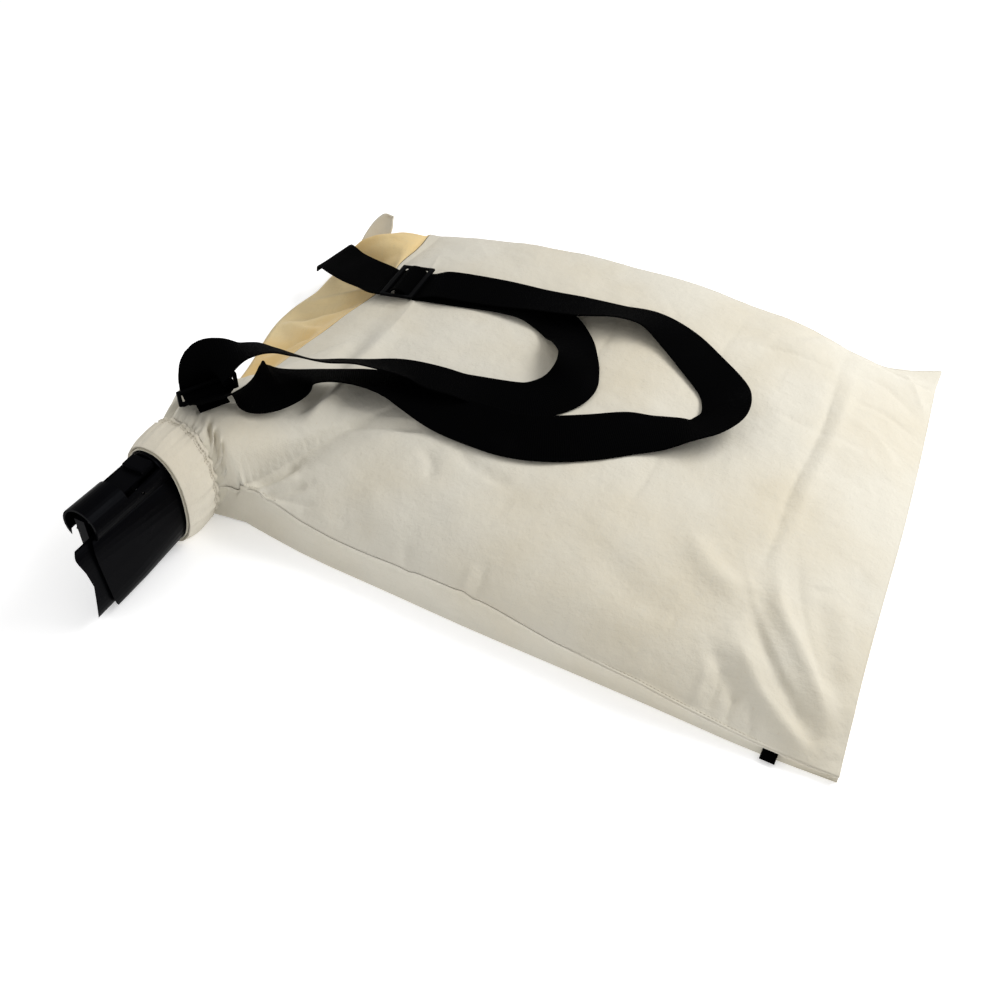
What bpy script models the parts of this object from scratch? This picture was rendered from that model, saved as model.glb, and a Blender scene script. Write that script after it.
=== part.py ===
"""Debris collection bag of a hand-held leaf blower and vacuum, lying flat and half empty.

Metres. +X runs along the bag from its neck end to its zipped end, +Y from the neck's side to the
far side, +Z up. The bag rests on its bottom panel at z = 0. Points below are written from the
near front corner of the bag, where the side seam meets the neck; FRAME_SHIFT moves everything so
that the origin is the middle of the footprint.
"""
import math

import bmesh
import bpy
from mathutils import Matrix, Vector

FRAME_SHIFT = Vector((-0.23445, -0.19065, 0.0))
GAP = 0.0003

# Fabric bag
CANVAS = 0.0009
SEAM_LAP = 0.005
PLATEAU = 0.078
CUT_NEAR = Vector((0.012, 0.010))
CUT_FRONT = Vector((-0.096, 0.072))
TOP_GRID = (36, 28)
CUT_SHARE = 5 / TOP_GRID[0]
ARCH_BASE = 0.050
ARCH_TOP = 0.113

# Neck
NECK_X = -0.0385
NECK_MOUTH_Y = -0.048
NECK_HALF_WIDTH = 0.0310
NECK_LOW = 0.0030
NECK_HIGH = 0.1175
SQUARENESS = 2.3
ARCH_SQUARENESS = 3.0
HEM_LENGTH = 0.046
HEM_THICK = 0.0014
ELASTIC_LENGTH = 0.024
ELASTIC_THICK = 0.0008

# Moulded outlet adapter
DUCT_X = NECK_X
DUCT_MOUTH_Y = -0.1450
DUCT_INNER_Y = -0.0080
DUCT_WALL = 0.0024
HOOD_RADIUS = 0.0195
HOOD_MOUTH_Y = -0.1410
MOUTH_RAKE = 1.25
LIP_Y = -0.1711
SPIGOT_WALL = 0.0018
LEVER_PIVOT = Vector((DUCT_X, -0.0800, 0.1005))
HOOK_Y = -0.1400
PIN_RADIUS = 0.0015

# Webbing strap
WEBBING_WIDTH = 0.050
WEBBING_THICK = 0.0015
GLIDE_LENGTH = 0.040
GLIDE_WIDTH = 0.060
GLIDE_BAR = 0.0055
GLIDE_THICK = 0.0030
RING_WIRE = 0.0040
RING_WIDTH = 0.060
RING_HEIGHT = 0.018
RING_TAB_WIDTH = 0.030

STRAP_ANCHOR = Vector((-0.135, 0.385))

# Zipper, straight along the middle of the bag's end
ZIP_START = Vector((0.6060, 0.0600))
ZIP_END = Vector((0.5615, 0.4720))
ZIP_HEIGHT = 0.0160
COIL_THICK = 0.0019
TAPE_THICK = 0.0006
TAPE_WIDTH = 0.0085
SLIDER_LENGTH = 0.0120
SLIDER_STATION = 0.348
PULL_LENGTH = 0.024


# ---------------------------------------------------------------- scene helpers
def clear_scene():
    for existing in list(bpy.data.objects):
        bpy.data.objects.remove(existing, do_unlink=True)


def collection(name):
    made = bpy.data.collections.new(name)
    bpy.context.scene.collection.children.link(made)
    return made


def material(name, colour, roughness):
    made = bpy.data.materials.new(name)
    made.use_nodes = True
    shader = made.node_tree.nodes["Principled BSDF"]
    shader.inputs["Base Color"].default_value = (*colour, 1.0)
    shader.inputs["Roughness"].default_value = roughness
    return made


clear_scene()
PARTS = collection("leaf_blower_vacuum_bag")
CUTTERS = collection("cutters")
CANVAS_SKIN = material("natural_cotton_canvas", (0.80, 0.74, 0.62), 0.95)
WEBBING_SKIN = material("black_webbing", (0.012, 0.012, 0.013), 0.80)
MOULDED_SKIN = material("black_moulded_plastic", (0.018, 0.018, 0.021), 0.42)
GLIDE_SKIN = material("black_glossy_nylon", (0.014, 0.014, 0.015), 0.35)
TAPE_SKIN = material("cream_zipper_tape", (0.74, 0.68, 0.56), 0.90)
METAL_SKIN = material("nickel_plated_steel", (0.62, 0.61, 0.59), 0.30)
ELASTIC_SKIN = material("white_knitted_elastic", (0.78, 0.77, 0.74), 0.85)


def add_object(name, mesh, skin, home=None):
    """Put a finished mesh in the scene, shaded smooth except across sharp edges."""
    made = bpy.data.objects.new(name, mesh)
    (home or PARTS).objects.link(made)
    if skin:
        mesh.materials.append(skin)
    mesh.transform(Matrix.Translation(FRAME_SHIFT))
    mesh.shade_smooth()
    mesh.set_sharp_from_angle(angle=math.radians(38))
    return made


def finish_bmesh(work, name):
    bmesh.ops.recalc_face_normals(work, faces=work.faces)
    mesh = bpy.data.meshes.new(name)
    work.to_mesh(mesh)
    work.free()
    return mesh


def sheet(name, across, along, place, thickness, skin, side=0.0):
    """A flexible sheet: a flat grid bent by place(u, v), then given its thickness."""
    work = bmesh.new()
    bmesh.ops.create_grid(work, x_segments=across, y_segments=along, size=0.5)
    for vertex in work.verts:
        vertex.co = place(vertex.co.x + 0.5, vertex.co.y + 0.5)
    mesh = bpy.data.meshes.new(name)
    work.to_mesh(mesh)
    work.free()
    made = add_object(name, mesh, skin)
    thicken = made.modifiers.new("fabric_thickness", "SOLIDIFY")
    thicken.thickness = thickness
    thicken.offset = side
    return made


def loft(name, rings, skin, home=None, hollow=0.0):
    """A body through closed section rings; with hollow set it is an open tube of that wall."""
    work = bmesh.new()
    loops = [[work.verts.new(point) for point in ring] for ring in rings]
    count = len(loops[0])
    for first, second in zip(loops, loops[1:]):
        for step in range(count):
            following = (step + 1) % count
            work.faces.new((first[step], first[following], second[following], second[step]))
    if not hollow:
        work.faces.new(loops[0])
        work.faces.new(loops[-1])
    made = add_object(name, finish_bmesh(work, name), skin, home)
    if hollow:
        thicken = made.modifiers.new("wall_thickness", "SOLIDIFY")
        thicken.thickness = hollow
        thicken.offset = -1.0
    return made


def box(name, low, high, skin, home=None, bevel=0.0):
    work = bmesh.new()
    bmesh.ops.create_cube(work, size=1.0)
    low, high = Vector(low), Vector(high)
    for vertex in work.verts:
        share = vertex.co + Vector((0.5, 0.5, 0.5))
        vertex.co = Vector(low[i] + (high[i] - low[i]) * share[i] for i in range(3))
    made = add_object(name, finish_bmesh(work, name), skin, home)
    if bevel:
        rounding = made.modifiers.new("edge_rounding", "BEVEL")
        rounding.width = bevel
        rounding.segments = 2
    return made


def cylinder(name, start, end, radius, skin, home=None, segments=32):
    start, end = Vector(start), Vector(end)
    work = bmesh.new()
    bmesh.ops.create_cone(work, cap_ends=True, segments=segments, radius1=radius, radius2=radius,
                          depth=(end - start).length)
    turn = (end - start).to_track_quat("Z", "Y").to_matrix().to_4x4()
    bmesh.ops.transform(work, matrix=Matrix.Translation((start + end) / 2) @ turn, verts=work.verts)
    return add_object(name, finish_bmesh(work, name), skin, home)


def placed_box(name, frame, low, high, skin, home=None, bevel=0.0):
    """A block made at the origin and then placed by a frame."""
    made = box(name, low, high, skin, home, bevel)
    shift = Matrix.Translation(FRAME_SHIFT)
    made.data.transform(shift @ frame @ shift.inverted())
    return made


def combine(target, other, operation):
    change = target.modifiers.new(operation.lower() + "_" + other.name, "BOOLEAN")
    change.operation = operation
    change.solver = "EXACT"
    change.object = other
    other.hide_render = True
    other.display_type = "WIRE"
    return target


# ---------------------------------------------------------------- curves and shapes
def along_points(points, share):
    """Smooth position a share of the way along a list of equally weighted points."""
    spans = len(points) - 1
    reach = min(max(share, 0.0), 1.0) * spans
    index = min(int(reach), spans - 1)
    t = reach - index
    p1, p2 = Vector(points[index]), Vector(points[index + 1])
    p0 = Vector(points[index - 1]) if index else p1 * 2 - p2
    p3 = Vector(points[index + 2]) if index + 2 <= spans else p2 * 2 - p1
    slope1, slope2 = (p2 - p0) / 2, (p3 - p1) / 2
    return (p1 * (2 * t**3 - 3 * t**2 + 1) + slope1 * (t**3 - 2 * t**2 + t)
            + p2 * (3 * t**2 - 2 * t**3) + slope2 * (t**3 - t**2))


def smooth_step(low, high, value):
    t = min(max((value - low) / (high - low), 0.0), 1.0)
    return t * t * (3 - 2 * t)


# Plan outlines of the two big panels, corner to corner
TOP_NEAR = [CUT_NEAR, (0.09, 0.005), (0.18, 0.004), (0.27, 0.002), (0.36, -0.004),
            (0.45, -0.008), (0.54, -0.007), (0.620, -0.003)]
TOP_FAR = [(-0.048, 0.468), (0.04, 0.479), (0.13, 0.489), (0.22, 0.498), (0.31, 0.507),
           (0.40, 0.508), (0.49, 0.512), (0.560, 0.548)]
TOP_FRONT = [CUT_FRONT, (-0.074, 0.140), (-0.055, 0.205), (-0.046, 0.268), (-0.034, 0.330),
             (-0.046, 0.390), (-0.044, 0.432), (-0.048, 0.468)]
END_EDGE = [(0.620, -0.003), (0.609, 0.080), (0.600, 0.170), (0.592, 0.260), (0.582, 0.350),
            (0.572, 0.430), (0.563, 0.500), (0.560, 0.548)]
BASE_NEAR = [CUT_NEAR - Vector((0.0, 0.004)), (0.09, -0.002), (0.18, -0.004), (0.27, -0.006),
             (0.36, -0.006), (0.45, -0.006), (0.54, -0.007), (0.617, -0.003)]
BASE_FRONT = [(-0.104, 0.076), (-0.118, 0.130), (-0.131, 0.205), (-0.148, 0.270),
              (-0.151, 0.315), (-0.143, 0.370), (-0.138, 0.415), (-0.112, 0.455)]
BASE_FAR = [(-0.112, 0.455), (-0.02, 0.474), (0.08, 0.486), (0.19, 0.496), (0.29, 0.504),
            (0.38, 0.506), (0.48, 0.510), (0.556, 0.544)]
BASE_END = END_EDGE


def near_border(points, cut_start, share):
    """The near edge with the neck's corner cut in front of it."""
    if share < CUT_SHARE:
        return Vector(cut_start).lerp(Vector(points[0]), share / CUT_SHARE)
    return along_points(points, (share - CUT_SHARE) / (1 - CUT_SHARE))


def panel_plan(near, far, front, end, u, v):
    """Plan point of a four-edged panel, blended from its edges."""
    low, high = near_border(near, front[0], u), along_points(far, u)
    left, right = along_points(front, v), along_points(end, v)
    corners = (near_border(near, front[0], 0).lerp(near_border(near, front[0], 1), u) * (1 - v)
               + along_points(far, 0).lerp(along_points(far, 1), u) * v)
    return low * (1 - v) + high * v + left * (1 - u) + right * u - corners


def top_plan(u, v):
    return panel_plan(TOP_NEAR, TOP_FAR, TOP_FRONT, END_EDGE, u, v)


def base_plan(u, v):
    return panel_plan(BASE_NEAR, BASE_FAR, BASE_FRONT, BASE_END, u, v)


def arch_height(lateral):
    """Height of the top panel's edge where it passes over the neck sleeve."""
    rise = max(0.0, 1 - abs(0.94 * lateral)**ARCH_SQUARENESS)**(1 / ARCH_SQUARENESS)
    return ARCH_BASE + (ARCH_TOP - ARCH_BASE) * rise


def near_height(x):
    full = 0.050 - 0.016 * smooth_step(0.0, 0.22, x)
    return full - (full - 0.010) * smooth_step(0.44, 0.60, x)


def far_height(x):
    rise = 0.052 + 0.018 * smooth_step(-0.05, 0.18, x) - 0.012 * smooth_step(0.25, 0.38, x)
    return rise - (rise - 0.014) * smooth_step(0.38, 0.54, x)


def end_height(y):
    return (0.010 + 0.022 * smooth_step(0.0, 0.055, y)
            - 0.018 * smooth_step(0.485, 0.535, y))


def top_height(x, y):
    """Height of the top panel above the ground at a plan point."""
    cut = (CUT_NEAR - CUT_FRONT)
    inward = Vector((-cut.y, cut.x)).normalized()
    from_cut = Vector((x, y)) - CUT_FRONT
    lateral = 2 * from_cut.dot(cut.normalized()) / cut.length - 1
    inset = max(0.0, from_cut.dot(inward))
    end_x = 0.620 - 0.108 * y
    reach = [(max(0.0, y + 0.004), 0.050, near_height(x)),
             (max(0.0, 0.492 + 0.05 * x - y), 0.045, far_height(x)),
             (max(0.0, x + 0.080 - 0.10 * y), 0.040, 0.050),
             (max(0.0, end_x - x), 0.110, end_height(y))]
    weights = [math.exp(-distance / scale) for distance, scale, _ in reach]
    open_share = math.prod(1 - weight for weight in weights)
    edge = sum(w * r[2] for w, r in zip(weights, reach)) / max(sum(weights), 1e-9)
    height = PLATEAU * open_share + edge * (1 - open_share)
    hold = math.exp(-(inset / 0.085)**1.6) if abs(lateral) < 1.6 else 0.0
    side = smooth_step(1.6, 0.95, abs(lateral))
    return height + (arch_height(lateral) - height) * hold * side


def top_point(u, v):
    plan = top_plan(u, v)
    return Vector((plan.x, plan.y, top_height(plan.x, plan.y)))


# ---------------------------------------------------------------- fabric bag
def panel_share(share):
    """Share of the near border past the neck's cut corner."""
    return CUT_SHARE + (1 - CUT_SHARE) * share


def top_facet(u, v):
    """Point on the top panel's own facets, which its side walls are fitted to."""
    columns, rows = TOP_GRID
    column, row = min(int(u * columns), columns - 1), min(int(v * rows), rows - 1)
    across, along = u * columns - column, v * rows - row
    front = top_point(column / columns, row / rows).lerp(
        top_point((column + 1) / columns, row / rows), across)
    back = top_point(column / columns, (row + 1) / rows).lerp(
        top_point((column + 1) / columns, (row + 1) / rows), across)
    return front.lerp(back, along)


def under_top(u, v, slack=0.0):
    """Where a side wall is sewn under the top panel; steep stretches need slack."""
    return top_facet(u, v) - Vector((0, 0, 1.5 * CANVAS + 2 * GAP + slack))


def over_base(u, v):
    """Where a side wall is sewn onto the bottom panel."""
    plan = base_plan(u, v)
    return Vector((plan.x, plan.y, 1.5 * CANVAS + 2 * GAP))


def side_wall(name, divisions, base_edge, top_edge, bow, hollow):
    """A gusset between the two panels; bow swells it outwards, hollow sinks its lower part."""
    def place(u, v):
        low, high = base_edge(u), top_edge(u)
        along = top_edge(min(u + 0.01, 1.0)) - top_edge(max(u - 0.01, 0.0))
        outward = Vector((along.y, -along.x, 0)).normalized()
        point = low.lerp(high, v) + outward * bow * math.sin(math.pi * v)
        point.z = low.z + (high.z - low.z) * v**hollow
        from_anchor = (point.xy - STRAP_ANCHOR).length / 0.032
        point.z += 0.020 * (1 - v**4) * v**0.3 * math.exp(-from_anchor**2)
        return point
    sheet(name, divisions, 4, place, CANVAS, CANVAS_SKIN)


def zip_plan(y):
    """Plan point on the straight line the zipper is sewn along."""
    share = (y - ZIP_START.y) / (ZIP_END.y - ZIP_START.y)
    return ZIP_START.lerp(ZIP_END, share)


def slot_half(y):
    """Half height of the slot between the two end panels; it is widest where the zipper is."""
    zipped = smooth_step(0.034, 0.048, y) * (1 - smooth_step(0.484, 0.498, y))
    return 0.0005 + 0.0021 * zipped


def build_end_panels():
    def end_panel(name, upper):
        direction = 1 if upper else -1

        def place(u, v):
            share = 0.014 + 0.966 * u
            edge = under_top(0.991, share, 0.0016) if upper else over_base(0.994, share)
            y = 0.007 + 0.524 * u
            seam = zip_plan(y)
            middle = 0.5 * end_height(y)
            start = Vector((seam.x, seam.y, middle + direction * slot_half(y)))
            return start.lerp(edge, v) + Vector((0.0012 * math.sin(math.pi * v), 0, 0))
        sheet(name, 40, 3, place, CANVAS, CANVAS_SKIN)
    end_panel("end_panel_upper", True)
    end_panel("end_panel_lower", False)


def build_bag():
    sheet("bag_top_panel", *TOP_GRID, top_point, CANVAS, CANVAS_SKIN, side=-1.0)

    def base_point(u, v):
        plan = base_plan(u, v)
        return Vector((plan.x, plan.y, CANVAS))
    sheet("bag_bottom_panel", 20, 12, base_point, CANVAS, CANVAS_SKIN, side=-1.0)

    lap = SEAM_LAP / 0.5
    side_wall("near_side_gusset", 40,
              lambda u: over_base(panel_share(0.020 + 0.960 * u), lap),
              lambda u: under_top(panel_share(0.020 + 0.960 * u), lap,
                                  0.0020 + 0.008 * max(0.0, 1 - 8 * u)), -0.003, 1.0)
    side_wall("far_side_gusset", 40,
              lambda u: over_base(0.985 - 0.970 * u, 1 - lap),
              lambda u: under_top(0.985 - 0.970 * u, 1 - lap, 0.0008), 0.004, 0.9)
    side_wall("front_gusset", 28,
              lambda u: over_base(lap, 0.982 - 0.940 * u),
              lambda u: under_top(lap, 0.982 - 0.940 * u, 0.0034), 0.0, 1.7)
    build_end_panels()

    def tab_point(u, v):
        bend = 0.006 * math.sin(math.pi * u)
        return Vector((-0.120 + 0.026 * u, 0.459 + bend + 0.014 * v, 0.012 + 0.034 * v))
    sheet("corner_hang_tab", 6, 5, tab_point, 2 * CANVAS, CANVAS_SKIN)

    def label_point(u, v):
        return Vector((0.5555 + 0.0135 * u, -0.0035 - 0.0095 * v, 0.0075 - 0.0050 * v))
    sheet("seam_label_tab", 3, 3, label_point, 0.0010, WEBBING_SKIN)


# ---------------------------------------------------------------- neck
def oval(centre, direction, half_width, low, high, squareness, count=36):
    """Closed upright section: a rounded rectangle across the neck's axis."""
    middle, half_height = (low + high) / 2, (high - low) / 2
    points = []
    for step in range(count):
        angle = 2 * math.pi * step / count
        side, rise = math.cos(angle), math.sin(angle)
        lateral = math.copysign(abs(side)**(2 / squareness), side) * half_width
        lift = math.copysign(abs(rise)**(2 / squareness), rise) * half_height
        plan = Vector(centre) + Vector(direction) * lateral
        points.append(Vector((plan.x, plan.y, middle + lift)))
    return points


def sleeve_ring(share, grow=0.0):
    """Section of the neck sleeve, from its mouth (0) to where it enters the bag (1)."""
    cut = CUT_NEAR - CUT_FRONT
    inward = Vector((-cut.y, cut.x)).normalized()
    start = Vector((NECK_X, NECK_MOUTH_Y))
    end = (CUT_NEAR + CUT_FRONT) / 2 + inward * 0.006
    turn = smooth_step(0.45, 1.0, share)
    direction = Vector((1, 0)).lerp(cut.normalized(), turn).normalized()
    half = NECK_HALF_WIDTH + (cut.length / 2 - 0.009 - NECK_HALF_WIDTH) * turn
    low = NECK_LOW + (0.0016 - NECK_LOW) * turn
    high = NECK_HIGH + (ARCH_TOP - 0.0080 - NECK_HIGH) * smooth_step(0.47, 0.80, share)
    centre = Vector((start.x + (end.x - start.x) * turn, start.y + (end.y - start.y) * share))
    return oval(centre, direction, half + grow, low - grow, high + grow, SQUARENESS)


def build_neck():
    loft("neck_sleeve", [sleeve_ring(step / 8) for step in range(9)], CANVAS_SKIN,
         hollow=CANVAS)
    reach = ((CUT_NEAR + CUT_FRONT) / 2).y - NECK_MOUTH_Y + 0.005

    def band(name, start, length, inner, thick, skin):
        shares = [(start + length * step / 2) / reach for step in range(3)]
        loft(name, [sleeve_ring(share, inner + thick) for share in shares], skin, hollow=thick)
    band("neck_elastic", 0.010, ELASTIC_LENGTH, GAP, ELASTIC_THICK, ELASTIC_SKIN)
    band("neck_cuff_hem", 0.0, HEM_LENGTH, ELASTIC_THICK + 2 * GAP, HEM_THICK, CANVAS_SKIN)


# ---------------------------------------------------------------- outlet adapter
def duct_ring(y, half_width, low, high, squareness, slant, rake=0.0):
    """Section of the duct; slant leans its top forwards and rake sets its far side back."""
    ring = oval((DUCT_X, y), (1, 0), half_width, low, high, squareness)
    return [point + Vector((0, rake * (DUCT_X + half_width - point.x) - slant * point.z, 0))
            for point in ring]


def duct_sections(inset, stretch):
    """Sections of the adapter's duct, boxy at its mouth and rounder inside the cuff."""
    return [duct_ring(DUCT_MOUTH_Y - stretch, 0.0210 - inset, 0.0035 + inset, 0.0990 - inset,
                      5.0, 0.07, MOUTH_RAKE),
            duct_ring(-0.1050, 0.0240 - inset, 0.0038 + inset, 0.0990 - inset, 3.6, 0.03,
                      MOUTH_RAKE / 2),
            duct_ring(-0.0500, 0.0275 - inset, 0.0045 + inset, 0.0990 - inset, SQUARENESS, 0.0),
            duct_ring(DUCT_INNER_Y + stretch, 0.0260 - inset, 0.0060 + inset, 0.0980 - inset,
                      SQUARENESS, 0.0)]


def spigot_sections(inset, stretch):
    """Sections of the liner in the duct's mouth, whose lip stands proud below the hood."""
    front = duct_ring(0.0, 0.0204 - inset, 0.0035 + inset, 0.0990 - inset, 4.6, 0.0, MOUTH_RAKE)
    for point in front:
        scallop = 0.0115 * max(0.0, 1 - ((point.z - 0.048) / 0.044)**2)
        point.y += LIP_Y + scallop - stretch
    back = duct_ring(-0.1100 + stretch, 0.0230 - inset, 0.0040 + inset, 0.0988 - inset, 3.4,
                     0.03, MOUTH_RAKE / 2)
    return [front, back]


def build_adapter():
    duct = loft("adapter_duct", duct_sections(0.0, 0.0), MOULDED_SKIN)
    hood_mouth = Vector((DUCT_X, HOOD_MOUTH_Y, 0.1025))
    hood_inner = Vector((DUCT_X, DUCT_INNER_Y, 0.0945))
    run = (hood_inner - hood_mouth).normalized()
    combine(duct, cylinder("hood_body", hood_mouth, hood_inner, HOOD_RADIUS, None, CUTTERS, 40),
            "UNION")
    combine(duct, cylinder("hood_bore", hood_mouth - run * 0.01, hood_inner + run * 0.01,
                           HOOD_RADIUS - DUCT_WALL, None, CUTTERS, 40), "DIFFERENCE")
    combine(duct, loft("duct_bore", duct_sections(DUCT_WALL, 0.03), None, CUTTERS), "DIFFERENCE")
    combine(duct, box("latch_window", (DUCT_X - 0.022, -0.097, 0.1065),
                      (DUCT_X + 0.022, -0.052, 0.1300), None, CUTTERS), "DIFFERENCE")
    combine(duct, box("hook_slot", (DUCT_X - 0.009, HOOK_Y - 0.008, 0.0700),
                      (DUCT_X + 0.009, HOOK_Y + 0.012, 0.0900), None, CUTTERS), "DIFFERENCE")
    across = Vector((0.024, 0, 0))
    pin_hole = cylinder("pin_hole", LEVER_PIVOT - across, LEVER_PIVOT + across,
                        PIN_RADIUS + 0.00005, None, CUTTERS, 24)
    combine(duct, pin_hole, "DIFFERENCE")

    fit = DUCT_WALL + 3 * GAP
    spigot = loft("inner_spigot", spigot_sections(fit, 0.0), MOULDED_SKIN)
    combine(spigot, loft("spigot_bore", spigot_sections(fit + SPIGOT_WALL, 0.01), None, CUTTERS),
            "DIFFERENCE")
    combine(spigot, box("hook_notch", (DUCT_X - 0.009, -0.1800, 0.0850),
                        (DUCT_X + 0.009, HOOK_Y + 0.0120, 0.1100), None, CUTTERS), "DIFFERENCE")

    lever = box("latch_lever", (DUCT_X - 0.0115, -0.0955, 0.1080),
                (DUCT_X + 0.0115, -0.0535, 0.1105), MOULDED_SKIN)
    combine(lever, box("thumb_pad", (DUCT_X - 0.0115, -0.0700, 0.1095),
                       (DUCT_X + 0.0115, -0.0535, 0.1155), None, CUTTERS, bevel=0.0015), "UNION")
    combine(lever, box("lever_arm", (DUCT_X - 0.0055, HOOK_Y, 0.1080),
                       (DUCT_X + 0.0055, -0.0940, 0.1105), None, CUTTERS), "UNION")
    combine(lever, box("lever_hook", (DUCT_X - 0.0055, HOOK_Y, 0.0775),
                       (DUCT_X + 0.0055, HOOK_Y + 0.004, 0.1090), None, CUTTERS), "UNION")
    combine(lever, box("pivot_boss", (DUCT_X - 0.0110, -0.0840, 0.0970),
                       (DUCT_X + 0.0110, -0.0760, 0.1090), None, CUTTERS), "UNION")
    lever_bore = cylinder("lever_bore", LEVER_PIVOT - across, LEVER_PIVOT + across,
                          PIN_RADIUS + 0.00005, None, CUTTERS, 24)
    combine(lever, lever_bore, "DIFFERENCE")
    reach = Vector((0.0178, 0, 0))
    cylinder("latch_pin", LEVER_PIVOT - reach, LEVER_PIVOT + reach, PIN_RADIUS, METAL_SKIN,
             segments=24)


# ---------------------------------------------------------------- zipper
ZIP_RUN = Vector((ZIP_END.x - ZIP_START.x, ZIP_END.y - ZIP_START.y, 0))
ZIP_WAY = ZIP_RUN.normalized()
ZIP_OUT = Vector((ZIP_WAY.y, -ZIP_WAY.x, 0))


def zip_frame(station):
    """Frame at a distance along the zipper: X out of the bag, Y along the zipper, Z up."""
    origin = Vector((ZIP_START.x, ZIP_START.y, ZIP_HEIGHT)) + ZIP_WAY * station
    turn = Matrix((ZIP_OUT, ZIP_WAY, Vector((0, 0, 1)))).transposed().to_4x4()
    return Matrix.Translation(origin) @ turn


def zip_cylinder(name, out, half_height, radius, home=None):
    """An upright round bar in the slider's frame."""
    frame = zip_frame(SLIDER_STATION)
    return cylinder(name, frame @ Vector((out, 0, -half_height)),
                    frame @ Vector((out, 0, half_height)), radius,
                    None if home else METAL_SKIN, home, 24)


def build_zipper():
    length = ZIP_RUN.length
    for name, way in (("upper", 1), ("lower", -1)):
        low, high = sorted((way * 0.00015, way * (0.00015 + COIL_THICK)))
        placed_box("zipper_coil_" + name, zip_frame(0.0), (-0.0009, 0.0, low), (0.0013, length, high),
                TAPE_SKIN, bevel=0.0004)
        low, high = sorted((way * 0.0002, way * TAPE_WIDTH))
        placed_box("zipper_tape_" + name, zip_frame(0.0), (-0.0012 - TAPE_THICK, -0.004, low),
                (-0.0012, length + 0.004, high), TAPE_SKIN)
    for name, station in (("near", -0.0034), ("far", length + 0.0004)):
        placed_box("zipper_stop_" + name, zip_frame(station), (-0.0009, 0.0, -0.0020),
                (0.0016, 0.003, 0.0020), METAL_SKIN)
    half = SLIDER_LENGTH / 2
    at_slider = zip_frame(SLIDER_STATION)
    slider = placed_box("zipper_slider", at_slider, (0.0018, -half, -0.0045),
                     (0.0032, half, 0.0045), METAL_SKIN, bevel=0.0004)
    for name, low, high in (("lug_upper", 0.0030, 0.0042), ("lug_lower", -0.0042, -0.0030)):
        combine(slider, placed_box(name, at_slider, (0.0025, -0.0020, low),
                                (0.0068, 0.0020, high), None, CUTTERS), "UNION")
    combine(slider, zip_cylinder("lug_pin", 0.0052, 0.0040, 0.0009, CUTTERS), "UNION")
    pull = zip_cylinder("zipper_pull", 0.0052, 0.0026, 0.0017)
    combine(pull, placed_box("pull_blade", at_slider, (0.0045, 0.0005, -0.0026),
                          (0.0059, PULL_LENGTH, 0.0026), None, CUTTERS), "UNION")
    combine(pull, zip_cylinder("pull_bore", 0.0052, 0.0050, 0.00096, CUTTERS), "DIFFERENCE")


# ---------------------------------------------------------------- shoulder strap
def local_frame(centre, first, second):
    """Frame with X along first and Y as near second as a right angle allows."""
    x_axis = Vector(first).normalized()
    z_axis = x_axis.cross(Vector(second)).normalized()
    y_axis = z_axis.cross(x_axis)
    turn = Matrix((x_axis, y_axis, z_axis)).transposed().to_4x4()
    return Matrix.Translation(Vector(centre)) @ turn


# X along the strap, Y across it, Z up through the buckle
GLIDE = local_frame((0.002, 0.338, 0.0790), (0.9865, 0.0863, 0.139), (-0.087, 0.996, 0.0))
# X along the ring's bars, Y towards the neck's mouth side, Z up in the ring's plane
RING = local_frame((-0.0335, 0.0387, 0.1360), (0.5, 0.866, 0.0), (0.866, -0.5, 0.0))
ACROSS_GLIDE = (-0.087, 0.996, 0.0)
ALONG_BAR = (0.5, 0.866, 0.0)


def in_glide(along, height):
    """Strap station in the tri-glide, at a distance along the strap and above its bars."""
    return (GLIDE @ Vector((along, 0, height)), ACROSS_GLIDE)


def in_ring(forward, rise):
    """Strap station around the ring's upper bar."""
    return (RING @ Vector((0, forward, -rise)), ALONG_BAR)


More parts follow.
